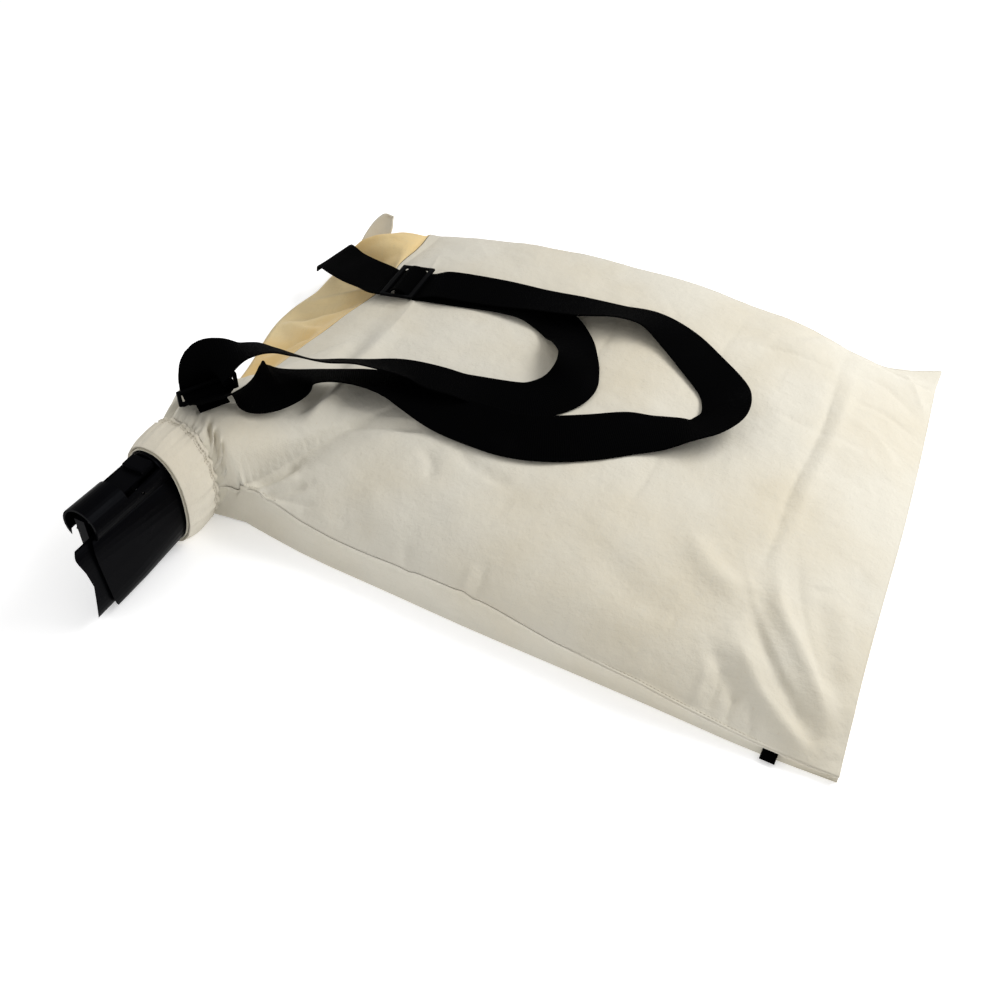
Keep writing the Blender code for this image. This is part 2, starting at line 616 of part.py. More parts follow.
# Middle of the webbing and the direction of its width, from the sewn end on the front gusset,
# through the buckle, round the long loop to the ring, then back to the buckle's middle bar
STRAP_ROUTE = [
    ((-0.137, 0.381, 0.034), (0.41, 0.88, 0.24)),
    ((-0.105, 0.364, 0.047), (0.39, 0.91, 0.14)),
    ((-0.073, 0.351, 0.059), (0.27, 0.95, 0.12)),
    ((-0.045, 0.343, 0.067), (0.14, 0.99, 0.07)),
    in_glide(-0.0300, -0.0036), in_glide(-0.0165, -0.0031), in_glide(-0.0115, -0.0012),
    in_glide(-0.0075, 0.0028), in_glide(-0.0035, 0.0049), in_glide(0.0010, 0.0050),
    in_glide(0.0050, 0.0044), in_glide(0.0090, 0.0014), in_glide(0.0125, -0.0020),
    in_glide(0.0165, -0.0028), in_glide(0.0240, -0.0022), in_glide(0.0330, 0.0004),
    ((0.052, 0.346, 0.0865), (-0.14, 0.99, 0.0)),
    ((0.104, 0.362, 0.0835), (-0.21, 0.98, 0.0)),
    ((0.152, 0.370, 0.0855), (-0.12, 0.98, -0.14)),
    ((0.197, 0.377, 0.0885), (-0.15, 0.97, -0.21)),
    ((0.239, 0.387, 0.0900), (-0.16, 0.91, -0.37)),
    ((0.275, 0.394, 0.0860), (0.13, 0.95, -0.29)),
    ((0.312, 0.382, 0.0800), (0.47, 0.88, -0.09)),
    ((0.348, 0.358, 0.0775), (0.60, 0.80, 0.03)),
    ((0.377, 0.335, 0.0770), (0.70, 0.70, 0.14)),
    ((0.398, 0.312, 0.0825), (0.86, 0.40, 0.31)),
    ((0.405, 0.288, 0.0840), (0.92, -0.13, 0.37)),
    ((0.395, 0.268, 0.0835), (0.63, -0.70, 0.34)),
    ((0.378, 0.258, 0.0820), (0.36, -0.88, 0.31)),
    ((0.362, 0.249, 0.0795), (0.46, -0.87, 0.14)),
    ((0.346, 0.239, 0.0785), (0.55, -0.84, -0.03)),
    ((0.325, 0.223, 0.0820), (0.61, -0.75, -0.26)),
    ((0.295, 0.196, 0.0850), (0.60, -0.71, -0.36)),
    ((0.263, 0.175, 0.0860), (0.46, -0.80, -0.37)),
    ((0.228, 0.162, 0.0860), (0.21, -0.92, -0.34)),
    ((0.189, 0.160, 0.0850), (0.00, -0.96, -0.29)),
    ((0.153, 0.163, 0.0830), (-0.10, -0.98, -0.19)),
    ((0.112, 0.171, 0.0835), (-0.07, -1.00, 0.0)),
    ((0.083, 0.166, 0.0900), (0.33, -0.92, 0.21)),
    ((0.056, 0.153, 0.0970), (0.41, -0.83, 0.37)),
    ((0.031, 0.138, 0.1000), (0.59, -0.70, 0.41)),
    ((0.014, 0.121, 0.1030), (0.82, -0.51, 0.26)),
    ((0.009, 0.102, 0.1090), (0.92, -0.15, -0.35)),
    ((0.010, 0.083, 0.1200), (0.60, -0.05, -0.80)),
    ((0.009, 0.064, 0.1280), (0.15, 0.05, -0.98)),
    ((0.004, 0.047, 0.1340), (-0.15, 0.50, -0.80)),
    ((-0.006, 0.036, 0.1360), (-0.20, 0.75, -0.50)),
    ((-0.0155, 0.0320, 0.1340), (0.10, 0.90, -0.25)),
    in_ring(0.0110, -0.0050), in_ring(0.0040, -0.0040), in_ring(-0.0005, -0.0038),
    in_ring(-0.0030, -0.0032), in_ring(-0.0038, -0.0010), in_ring(-0.0038, 0.0050),
    ((-0.0365, 0.0415, 0.1500), (0.75, 0.66, 0.0)),
    ((-0.0330, 0.0430, 0.1610), (0.97, 0.20, 0.0)),
    ((-0.0240, 0.0500, 0.1700), (0.90, -0.35, -0.10)),
    ((-0.0110, 0.0650, 0.1740), (0.75, -0.58, 0.30)),
    ((0.002, 0.082, 0.1670), (0.70, -0.56, 0.42)),
    ((0.016, 0.100, 0.1500), (0.69, -0.50, 0.47)),
    ((0.035, 0.123, 0.1310), (0.69, -0.48, 0.53)),
    ((0.053, 0.149, 0.1180), (0.67, -0.53, 0.51)),
    ((0.075, 0.170, 0.1070), (0.61, -0.67, 0.42)),
    ((0.098, 0.190, 0.0955), (0.53, -0.81, 0.26)),
    ((0.123, 0.197, 0.0900), (0.20, -0.96, 0.21)),
    ((0.151, 0.201, 0.0880), (0.20, -0.96, 0.21)),
    ((0.187, 0.212, 0.0805), (0.31, -0.95, -0.03)),
    ((0.215, 0.222, 0.0800), (0.57, -0.82, -0.09)),
    ((0.235, 0.242, 0.0815), (0.80, -0.56, -0.21)),
    ((0.244, 0.264, 0.0870), (0.90, -0.16, -0.41)),
    ((0.238, 0.288, 0.0900), (0.81, 0.30, -0.50)),
    ((0.222, 0.312, 0.0865), (0.77, 0.54, -0.34)),
    ((0.204, 0.333, 0.0805), (0.76, 0.64, -0.09)),
    ((0.180, 0.351, 0.0785), (0.55, 0.84, 0.0)),
    ((0.150, 0.360, 0.0790), (0.26, 0.96, -0.07)),
    ((0.114, 0.359, 0.0788), (-0.05, 1.0, -0.06)),
    ((0.064, 0.348, 0.0788), (-0.21, 0.98, 0.0)),
    in_glide(0.0330, -0.0052), in_glide(0.0200, -0.0053), in_glide(0.0110, -0.0050),
    in_glide(0.0050, -0.0036), in_glide(0.0000, -0.0029), in_glide(-0.0028, -0.0025),
    in_glide(-0.0035, 0.0000), in_glide(-0.0026, 0.0025), in_glide(0.0000, 0.0029),
    in_glide(0.0030, 0.0023), in_glide(0.0052, 0.0002), in_glide(0.0072, -0.0022),
]


def strap_lengths():
    """Distance along the webbing at each station of its route."""
    lengths = [0.0]
    for (first, _), (second, _) in zip(STRAP_ROUTE, STRAP_ROUTE[1:]):
        lengths.append(lengths[-1] + (Vector(second) - Vector(first)).length)
    return lengths


def strap_samples(step, finest):
    """Stations at an even spacing, and at least finest of them between route points."""
    samples = []
    for index, (start, end) in enumerate(zip(strap_lengths(), strap_lengths()[1:])):
        count = max(finest, round((end - start) / step))
        samples += [(index + part / count) / (len(STRAP_ROUTE) - 1) for part in range(count)]
    return samples + [1.0]


def build_strap():
    samples = strap_samples(0.010, 2)
    middles = [point for point, _ in STRAP_ROUTE]
    widths = [width for _, width in STRAP_ROUTE]

    def strap_point(u, v):
        share = samples[round(u * (len(samples) - 1))]
        middle = along_points(middles, share)
        ahead = along_points(middles, min(share + 0.0005, 1.0))
        behind = along_points(middles, max(share - 0.0005, 0.0))
        run = (ahead - behind).normalized()
        width = along_points(widths, share)
        width = (width - run * width.dot(run)).normalized()
        return middle + width * WEBBING_WIDTH * (v - 0.5)
    sheet("shoulder_strap", len(samples) - 1, 1, strap_point, WEBBING_THICK, WEBBING_SKIN)


def build_tri_glide():
    half_length, half_width = GLIDE_LENGTH / 2, GLIDE_WIDTH / 2
    half_thick = GLIDE_THICK / 2
    glide = placed_box("tri_glide", GLIDE, (-half_length, -half_width, -half_thick),
                       (half_length, half_width, half_thick), GLIDE_SKIN)
    inner, slot_half_width = 0.0020, WEBBING_WIDTH / 2 + 0.0015
    for name, start, end in (("glide_slot_a", -half_length + GLIDE_BAR, -inner),
                             ("glide_slot_b", inner, half_length - GLIDE_BAR)):
        combine(glide, placed_box(name, GLIDE, (start, -slot_half_width, -0.01),
                                  (end, slot_half_width, 0.01), None, CUTTERS), "DIFFERENCE")
    rounding = glide.modifiers.new("edge_rounding", "BEVEL")
    rounding.width = 0.0006
    rounding.segments = 2


def build_ring():
    half_ring, half_wire = RING_WIDTH / 2, RING_WIRE / 2
    ring = placed_box("strap_ring", RING, (-half_ring, -half_wire, -half_wire),
                      (half_ring, half_wire, RING_HEIGHT - half_wire), GLIDE_SKIN)
    combine(ring, placed_box("ring_opening", RING,
                             (-half_ring + RING_WIRE, -0.01, half_wire),
                             (half_ring - RING_WIRE, 0.01, RING_HEIGHT - 3 * half_wire),
                             None, CUTTERS), "DIFFERENCE")
    rounding = ring.modifiers.new("edge_rounding", "BEVEL")
    rounding.width = 0.0010
    rounding.segments = 2


def build_ring_tab():
    tab_path = [(0.0130, 0.1165), (0.0070, 0.1170), (0.0036, 0.1205), (0.0032, 0.1240),
                (0.0, 0.1258), (-0.0032, 0.1240), (-0.0036, 0.1205), (-0.0070, 0.1170),
                (-0.0130, 0.1165)]
    forward = RING.to_3x3() @ Vector((0, 1, 0))

    def ring_tab_point(u, v):
        reach, height = along_points(tab_path, v)
        across = Vector(ALONG_BAR) * RING_TAB_WIDTH * (u - 0.5)
        middle = RING.translation + across + forward * reach
        level = smooth_step(0.0110, 0.0060, abs(reach))
        middle.z = height + across.z * level
        return middle
    sheet("ring_tab", 6, 24, ring_tab_point, 0.0012, WEBBING_SKIN)


def main():
    build_bag()
    build_neck()
    build_adapter()
    build_zipper()
    build_strap()
    build_tri_glide()
    build_ring()
    build_ring_tab()


main()
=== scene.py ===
"""Looks of the leaf blower vacuum bag: its cloth, webbing, moulded parts, light and camera.

Metres, in the frame of the CAD model. Places on the bag are written from its near front corner,
where the side seam meets the neck, as the CAD model does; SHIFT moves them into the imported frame.
"""
import math

import bpy
import numpy as np
from mathutils import Matrix, Vector, noise
from mathutils.bvhtree import BVHTree


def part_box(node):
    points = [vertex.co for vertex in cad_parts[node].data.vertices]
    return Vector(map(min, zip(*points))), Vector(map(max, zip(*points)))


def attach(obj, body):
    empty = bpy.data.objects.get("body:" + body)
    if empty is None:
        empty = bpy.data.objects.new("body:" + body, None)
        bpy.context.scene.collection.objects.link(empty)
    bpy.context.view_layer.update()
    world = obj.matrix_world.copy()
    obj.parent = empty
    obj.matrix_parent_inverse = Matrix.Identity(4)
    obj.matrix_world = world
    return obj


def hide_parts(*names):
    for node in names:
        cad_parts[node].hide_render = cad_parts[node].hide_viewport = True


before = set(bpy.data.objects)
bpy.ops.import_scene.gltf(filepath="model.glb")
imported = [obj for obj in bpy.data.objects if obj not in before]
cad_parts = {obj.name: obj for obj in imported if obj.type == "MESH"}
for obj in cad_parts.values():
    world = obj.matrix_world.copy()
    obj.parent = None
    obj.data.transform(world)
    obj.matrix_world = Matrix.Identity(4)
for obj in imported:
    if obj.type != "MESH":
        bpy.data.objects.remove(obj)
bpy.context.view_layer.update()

# The latch pin's middle, written from the near front corner, ties the two frames together
LATCH_PIN = np.array((-0.0385, -0.0800, 0.1005))
SHIFT = sum(np.array(corner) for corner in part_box("latch_pin")) / 2 - LATCH_PIN

# Cloth: its thickness, the full height of the bag, and the corner cut off for the neck
CANVAS = 0.0009
PLATEAU = 0.078
CUT_NEAR = np.array((0.012, 0.010))
CUT_FRONT = np.array((-0.096, 0.072))
CUT_SHARE = 5 / 36
ARCH_BASE = 0.050
ARCH_TOP = 0.113

# Neck: its upright section, a rounded rectangle, and the angles where the gussets' seams meet it
NECK_X = -0.0385
NECK_MOUTH_Y = -0.0480
GATHER_Y = -0.0020
NECK_HALF_WIDTH = 0.0310
NECK_LOW = 0.0030
NECK_HIGH = 0.1175
SQUARENESS = 2.3
SEAM_ANGLES = (math.radians(191.5), math.radians(-11.5))

# Webbing
WEBBING_WIDTH = 0.050
WEBBING_THICK = 0.0015
RIB_PITCH = 0.0021

# Full-size floor, just under the lowest cloth
FLOOR_REACH = 60.0
FLOOR_LEVEL = -0.0005

# Corners of the carried-over parts sharper than this are rounded
ROUNDED_ABOVE = math.radians(38)

# Ends of the line that the zipper is sewn along, in plan
ZIP_START = np.array((0.6060, 0.0600))
ZIP_END = np.array((0.5615, 0.4720))


# ---------------------------------------------------------------- curves and shapes
def smooth(low, high, value):
    """Smooth step from 0 at low to 1 at high."""
    t = np.clip((np.asarray(value, float) - low) / (high - low), 0.0, 1.0)
    return t * t * (3 - 2 * t)


def window(rise, full, fall, gone, value):
    """1 between full and fall, fading to 0 at rise and gone."""
    return smooth(rise, full, value) * (1 - smooth(fall, gone, value))


def hermite(start, start_run, end, end_run, t):
    return (start * (2 * t**3 - 3 * t**2 + 1) + start_run * (t**3 - 2 * t**2 + t)
            + end * (3 * t**2 - 2 * t**3) + end_run * (t**3 - t**2))


def unit(rows):
    """Each row's direction, at length 1."""
    return rows / np.linalg.norm(rows, axis=-1)[..., None]


def run_lengths(line):
    """Length of a line up to each of its points."""
    return np.concatenate([[0], np.cumsum(np.linalg.norm(np.diff(line, axis=0), axis=1))])


def at_length(line, lengths, at):
    """Points of a line these lengths along it."""
    return np.stack([np.interp(at, lengths, line[:, axis]) for axis in range(3)], axis=-1)


def resample(line, count):
    """The same line as this many evenly spaced points."""
    lengths = run_lengths(line)
    return at_length(line, lengths, np.linspace(0, lengths[-1], count))


def along(points, share):
    """Smooth positions a share of the way along a list of equally weighted points."""
    points = np.array(points, float)
    share = np.clip(np.asarray(share, float), 0, 1)
    padded = np.vstack([2 * points[:1] - points[1:2], points, 2 * points[-1:] - points[-2:-1]])
    reach = share * (len(points) - 1)
    index = np.minimum(reach.astype(int), len(points) - 2)
    t = (reach - index)[..., None]
    before, start, end, after = (padded[index + k] for k in range(4))
    return hermite(start, (end - before) / 2, end, (after - start) / 2, t)


# Plan outlines of the two big panels, corner to corner, as in the CAD model
TOP_NEAR = [CUT_NEAR, (0.09, 0.005), (0.18, 0.004), (0.27, 0.002), (0.36, -0.004),
            (0.45, -0.008), (0.54, -0.007), (0.620, -0.003)]
TOP_FAR = [(-0.048, 0.468), (0.04, 0.479), (0.13, 0.489), (0.22, 0.498), (0.31, 0.507),
           (0.40, 0.508), (0.49, 0.512), (0.560, 0.548)]
TOP_FRONT = [CUT_FRONT, (-0.074, 0.140), (-0.055, 0.205), (-0.046, 0.268), (-0.034, 0.330),
             (-0.046, 0.390), (-0.044, 0.432), (-0.048, 0.468)]
END_EDGE = [(0.620, -0.003), (0.609, 0.080), (0.600, 0.170), (0.592, 0.260), (0.582, 0.350),
            (0.572, 0.430), (0.563, 0.500), (0.560, 0.548)]
BASE_NEAR = [CUT_NEAR - (0.0, 0.004), (0.09, -0.002), (0.18, -0.004), (0.27, -0.006),
             (0.36, -0.006), (0.45, -0.006), (0.54, -0.007), (0.617, -0.003)]
BASE_FRONT = [(-0.104, 0.076), (-0.118, 0.130), (-0.131, 0.205), (-0.148, 0.270),
              (-0.151, 0.315), (-0.143, 0.370), (-0.138, 0.415), (-0.112, 0.455)]
BASE_FAR = [(-0.112, 0.455), (-0.02, 0.474), (0.08, 0.486), (0.19, 0.496), (0.29, 0.504),
            (0.38, 0.506), (0.48, 0.510), (0.556, 0.544)]


def near_border(points, cut_start, share):
    """The near edge with the neck's corner cut in front of it."""
    share = np.asarray(share, float)
    cut = np.clip(share / CUT_SHARE, 0, 1)[..., None]
    straight = np.array(cut_start) * (1 - cut) + np.array(points[0]) * cut
    beyond = along(points, (share - CUT_SHARE) / (1 - CUT_SHARE))
    return np.where((share < CUT_SHARE)[..., None], straight, beyond)


def panel_plan(near, far, front, end, u, v):
    """Plan points of a four-edged panel, blended from its edges."""
    u, v = np.broadcast_arrays(np.asarray(u, float), np.asarray(v, float))
    low, high = near_border(near, front[0], u), along(far, u)
    left, right = along(front, v), along(end, v)
    ends = near_border(near, front[0], np.array((0.0, 1.0)))
    far_ends = along(far, np.array((0.0, 1.0)))
    u, v = u[..., None], v[..., None]
    corners = (ends[0] * (1 - u) + ends[1] * u) * (1 - v) + (
        far_ends[0] * (1 - u) + far_ends[1] * u) * v
    return low * (1 - v) + high * v + left * (1 - u) + right * u - corners


def top_plan(u, v):
    return panel_plan(TOP_NEAR, TOP_FAR, TOP_FRONT, END_EDGE, u, v)


def base_plan(u, v):
    return panel_plan(BASE_NEAR, BASE_FAR, BASE_FRONT, END_EDGE, u, v)


def near_height(x):
    """Height of the near seam, which droops just past the neck and rises again."""
    places = (-0.010, 0.030, 0.050, 0.083, 0.120, 0.160, 0.220, 0.280, 0.440, 0.520, 0.600)
    heights = (0.050, 0.047, 0.042, 0.031, 0.026, 0.026, 0.030, 0.0335, 0.034, 0.022, 0.010)
    return np.interp(x, places, heights)


def far_height(x):
    """Height of the far seam, highest along its middle."""
    rise = 0.052 + 0.018 * smooth(-0.05, 0.18, x) - 0.010 * smooth(0.25, 0.38, x)
    return rise - (rise - 0.021) * smooth(0.38, 0.55, x)


def end_height(y):
    """Height of the far end, lowest at its corners."""
    return 0.010 + 0.022 * smooth(0.0, 0.055, y) - 0.018 * smooth(0.485, 0.535, y)


def top_height(x, y):
    """Height of the smooth top panel, before its creases."""
    cut = CUT_NEAR - CUT_FRONT
    length = np.hypot(*cut)
    inward = np.array((-cut[1], cut[0])) / length
    from_x, from_y = x - CUT_FRONT[0], y - CUT_FRONT[1]
    lateral = 2 * (from_x * cut[0] + from_y * cut[1]) / length**2 - 1
    inset = np.maximum(0.0, from_x * inward[0] + from_y * inward[1])
    reach = [(np.maximum(0.0, y + 0.004), 0.050, near_height(x)),
             (np.maximum(0.0, 0.492 + 0.05 * x - y), 0.045, far_height(x)),
             (np.maximum(0.0, x + 0.080 - 0.10 * y), 0.040, 0.050),
             (np.maximum(0.0, 0.620 - 0.108 * y - x), 0.110, end_height(y))]
    weights = [np.exp(-distance / scale) for distance, scale, _ in reach]
    open_share = np.prod([1 - weight for weight in weights], axis=0)
    edge = sum(w * r[2] for w, r in zip(weights, reach)) / np.maximum(sum(weights), 1e-9)
    height = PLATEAU * open_share + edge * (1 - open_share)
    rise = np.maximum(0.0, 1 - np.abs(lateral)**3)**(1 / 3)
    arch = ARCH_BASE + (ARCH_TOP - ARCH_BASE) * rise
    hold = np.exp(-(inset / 0.085)**1.6) * (1 - smooth(0.95, 1.6, np.abs(lateral)))
    return height + (arch - height) * hold


def ring_points(angle, grow=0.0):
    """Points x, z on the neck's upright section, a rounded rectangle, at these angles."""
    middle, half = (NECK_LOW + NECK_HIGH) / 2, (NECK_HIGH - NECK_LOW) / 2
    side, rise = np.cos(angle), np.sin(angle)
    lateral = np.sign(side) * np.abs(side)**(2 / SQUARENESS) * (NECK_HALF_WIDTH + grow)
    lift = np.sign(rise) * np.abs(rise)**(2 / SQUARENESS) * (half + grow)
    return NECK_X + lateral, middle + lift


def undulation(points, scale, seed=0.0):
    """Smooth noise between about -1 and 1 at points, with features this many metres long."""
    offset = Vector((seed, 2 * seed, -seed))
    return np.array([noise.noise(Vector(point) / scale + offset) for point in points])


# ---------------------------------------------------------------- creases of the top panel
# Route in plan, height (negative for a valley), half width, sharp or soft
CREASES = [
    ([(0.025, 0.320), (0.031, 0.210), (0.039, 0.150), (0.041, 0.110), (0.036, 0.076)],
     0.0050, 0.013, "soft"),
    ([(0.000, 0.300), (0.010, 0.210), (0.018, 0.150), (0.020, 0.105), (0.016, 0.080)],
     -0.0040, 0.014, "soft"),
    ([(0.038, 0.190), (0.042, 0.152), (0.043, 0.118), (0.040, 0.082)], 0.0026, 0.005, "sharp"),
    ([(0.026, 0.186), (0.028, 0.145), (0.029, 0.115), (0.028, 0.080)], -0.0042, 0.007, "soft"),
    ([(0.046, 0.118), (0.070, 0.131), (0.102, 0.142), (0.150, 0.154)], 0.0020, 0.005, "sharp"),
    ([(0.056, 0.108), (0.082, 0.121), (0.112, 0.132), (0.155, 0.144)], -0.0032, 0.006, "soft"),
    ([(0.150, 0.120), (0.170, 0.105), (0.180, 0.085)], -0.0020, 0.006, "soft"),
    ([(0.180, 0.135), (0.215, 0.118), (0.260, 0.112)], -0.0022, 0.008, "soft"),
    ([(-0.012, 0.440), (0.006, 0.380), (0.025, 0.313), (0.032, 0.206)], 0.0010, 0.004, "sharp"),
    ([(0.054, 0.120), (0.091, 0.137), (0.140, 0.146)], -0.0018, 0.008, "soft"),
    ([(0.232, 0.470), (0.240, 0.373), (0.241, 0.328), (0.250, 0.240)], -0.0012, 0.004, "sharp"),
    ([(0.359, 0.230), (0.361, 0.183), (0.361, 0.130)], -0.0011, 0.004, "sharp"),
    ([(0.356, 0.490), (0.352, 0.420), (0.358, 0.360)], -0.0008, 0.004, "sharp"),
    ([(0.461, 0.518), (0.475, 0.402), (0.482, 0.339), (0.484, 0.246), (0.492, 0.176),
      (0.493, 0.120)], -0.0026, 0.005, "sharp"),
    ([(0.478, 0.500), (0.490, 0.402), (0.496, 0.339), (0.498, 0.246), (0.504, 0.176)],
     0.0012, 0.007, "soft"),
    ([(0.373, 0.432), (0.414, 0.441), (0.471, 0.441)], -0.0014, 0.005, "sharp"),
    ([(0.471, 0.441), (0.510, 0.462), (0.566, 0.432)], -0.0018, 0.005, "sharp"),
    ([(0.486, 0.402), (0.524, 0.413), (0.572, 0.402)], -0.0016, 0.004, "sharp"),
    ([(0.490, 0.380), (0.530, 0.372), (0.580, 0.330)], 0.0010, 0.005, "sharp"),
    ([(0.422, 0.342), (0.482, 0.339), (0.540, 0.345)], -0.0010, 0.004, "sharp"),
    ([(0.340, 0.414), (0.375, 0.454), (0.414, 0.477), (0.434, 0.510)], -0.0014, 0.006, "soft"),
    ([(0.490, 0.516), (0.532, 0.500), (0.566, 0.500)], -0.0022, 0.004, "sharp"),
    ([(0.520, 0.530), (0.546, 0.480), (0.566, 0.444)], 0.0014, 0.004, "sharp"),
    ([(0.415, 0.150), (0.440, 0.125), (0.463, 0.109), (0.500, 0.098)], 0.0042, 0.013, "soft"),
    ([(0.350, 0.090), (0.400, 0.060), (0.450, 0.050)], -0.0030, 0.018, "soft"),
    ([(0.490, 0.070), (0.519, 0.042), (0.541, 0.024), (0.575, 0.008), (0.595, 0.002)],
     0.0044, 0.0075, "soft"),
    ([(0.480, 0.048), (0.505, 0.028), (0.530, 0.010)], -0.0036, 0.0070, "soft"),
    ([(0.498, 0.175), (0.521, 0.112), (0.548, 0.082), (0.586, 0.045), (0.611, 0.010)],
     0.0044, 0.0085, "soft"),
    ([(0.497, 0.110), (0.515, 0.078), (0.540, 0.052), (0.566, 0.032), (0.592, 0.014)],
     -0.0042, 0.0075, "soft"),
    ([(0.470, 0.150), (0.500, 0.105), (0.530, 0.070), (0.575, 0.030)], 0.0016, 0.003, "sharp"),
    ([(0.510, 0.190), (0.540, 0.120), (0.570, 0.075), (0.605, 0.020)], -0.0016, 0.003, "sharp"),
    ([(0.545, 0.150), (0.572, 0.095), (0.600, 0.050)], -0.0030, 0.012, "soft"),
    ([(0.500, 0.032), (0.503, 0.013), (0.502, -0.004)], -0.0035, 0.0035, "sharp"),
    ([(0.517, 0.022), (0.520, 0.009), (0.520, -0.006)], -0.0030, 0.0035, "sharp"),
    ([(0.488, 0.030), (0.490, 0.012), (0.490, -0.006)], 0.0018, 0.0040, "soft"),
    ([(0.533, 0.020), (0.539, 0.007), (0.543, -0.006)], -0.0025, 0.0035, "sharp"),
    ([(0.273, 0.030), (0.276, 0.012), (0.274, -0.004)], -0.0022, 0.0040, "sharp"),
    ([(0.262, 0.028), (0.263, 0.012), (0.262, -0.004)], 0.0016, 0.0050, "soft"),
    ([(0.190, 0.024), (0.200, 0.008), (0.212, 0.000)], -0.0016, 0.0050, "soft"),
    ([(0.120, 0.060), (0.150, 0.040), (0.190, 0.030)], 0.0016, 0.0140, "soft"),
    ([(0.052, 0.060), (0.040, 0.034), (0.020, 0.010)], -0.0050, 0.0065, "soft"),
    ([(0.064, 0.046), (0.048, 0.024), (0.026, 0.006)], 0.0026, 0.0060, "soft"),
    ([(0.078, 0.040), (0.056, 0.022), (0.032, 0.006)], -0.0040, 0.0055, "soft"),
    ([(0.100, 0.024), (0.066, 0.015), (0.034, 0.010)], -0.0022, 0.0040, "sharp"),
    ([(-0.060, 0.120), (-0.050, 0.090), (-0.046, 0.060)], -0.0040, 0.0080, "soft"),
    ([(-0.020, 0.110), (-0.024, 0.080), (-0.026, 0.046)], -0.0035, 0.0070, "soft"),
]


def route_distance(x, y, route):
    """Distance to a route in plan, and the share of the way along it, for each point."""
    nearest, share = np.full(x.shape, 1e9), np.zeros(x.shape)
    spans = len(route) - 1
    for index in range(spans):
        start, end = np.array(route[index]), np.array(route[index + 1])
        run = end - start
        t = np.clip(((x - start[0]) * run[0] + (y - start[1]) * run[1]) / (run @ run), 0, 1)
        distance = np.hypot(x - start[0] - t * run[0], y - start[1] - t * run[1])
        closer = distance < nearest
        nearest = np.where(closer, distance, nearest)
        share = np.where(closer, (index + t) / spans, share)
    return nearest, share


def crease_height(x, y):
    """Height that all creases add to the smooth panel."""
    total = np.zeros(x.shape)
    for route, height, width, kind in CREASES:
        smooth_route = along(route, np.linspace(0, 1, 4 * len(route)))
        distance, share = route_distance(x, y, smooth_route)
        fade = window(0, 0.30, 0.75, 1.0, share)
        fade = np.maximum(fade, 0.25 * (distance < 5 * width)) * (share > 0) * (share < 1)
        form = np.exp(-(distance / width)**2) if kind == "soft" else np.exp(-distance / width)
        total += 1.35 * height * fade * form
    return total


def cloth_ripple(points):
    """Wide undulations and fine crumpling of handled canvas, as a height for each point."""
    wide = undulation(points, 0.110, 3.1) * 0.0030 + undulation(points, 0.045, 8.7) * 0.0017
    ridges = (1 - np.abs(undulation(points, 0.055, 9.3)) * 2.2)**3 * undulation(points, 0.09, 4.4)
    fine = np.abs(undulation(points, 0.020, 5.2)) * undulation(points, 0.060, 1.4)
    return wide + 0.0012 * ridges - 0.0016 * fine


# ---------------------------------------------------------------- mesh helpers
def grid_faces(columns, rows):
    """Quads of a grid whose vertices run row by row, columns + 1 to a row."""
    return [(start + c, start + c + 1, start + c + columns + 2, start + c + columns + 1)
            for start in range(0, rows * (columns + 1), columns + 1) for c in range(columns)]


def tube_faces(turns, rows):
    """Quads of a tube whose vertices run ring by ring, this many turns to a ring."""
    return [(start + k, start + (k + 1) % turns, start + turns + (k + 1) % turns,
             start + turns + k)
            for start in range(0, rows * turns, turns) for k in range(turns)]


def piece(name, points, faces, skin, uv=None, nodes=(), body="bag", thickness=0.0, side=-1.0):
    """A smooth-shaded piece from bag-frame points, riding on a body."""
    mesh = bpy.data.meshes.new(name)
    mesh.from_pydata([tuple(p) for p in np.asarray(points) + SHIFT], [], faces)
    mesh.materials.append(skin)
    if uv is not None:
        layer = mesh.uv_layers.new(name="cloth")
        loops = np.zeros(len(mesh.loops), int)
        mesh.loops.foreach_get("vertex_index", loops)
        layer.data.foreach_set("uv", np.asarray(uv)[loops].ravel())
    mesh.shade_smooth()
    made = bpy.data.objects.new(name, mesh)
    bpy.context.scene.collection.objects.link(made)
    if thickness:
        thicken = made.modifiers.new("thickness", "SOLIDIFY")
        thicken.thickness = thickness
        thicken.offset = side
    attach(made, body)
    if nodes:
        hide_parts(*nodes)
    return made


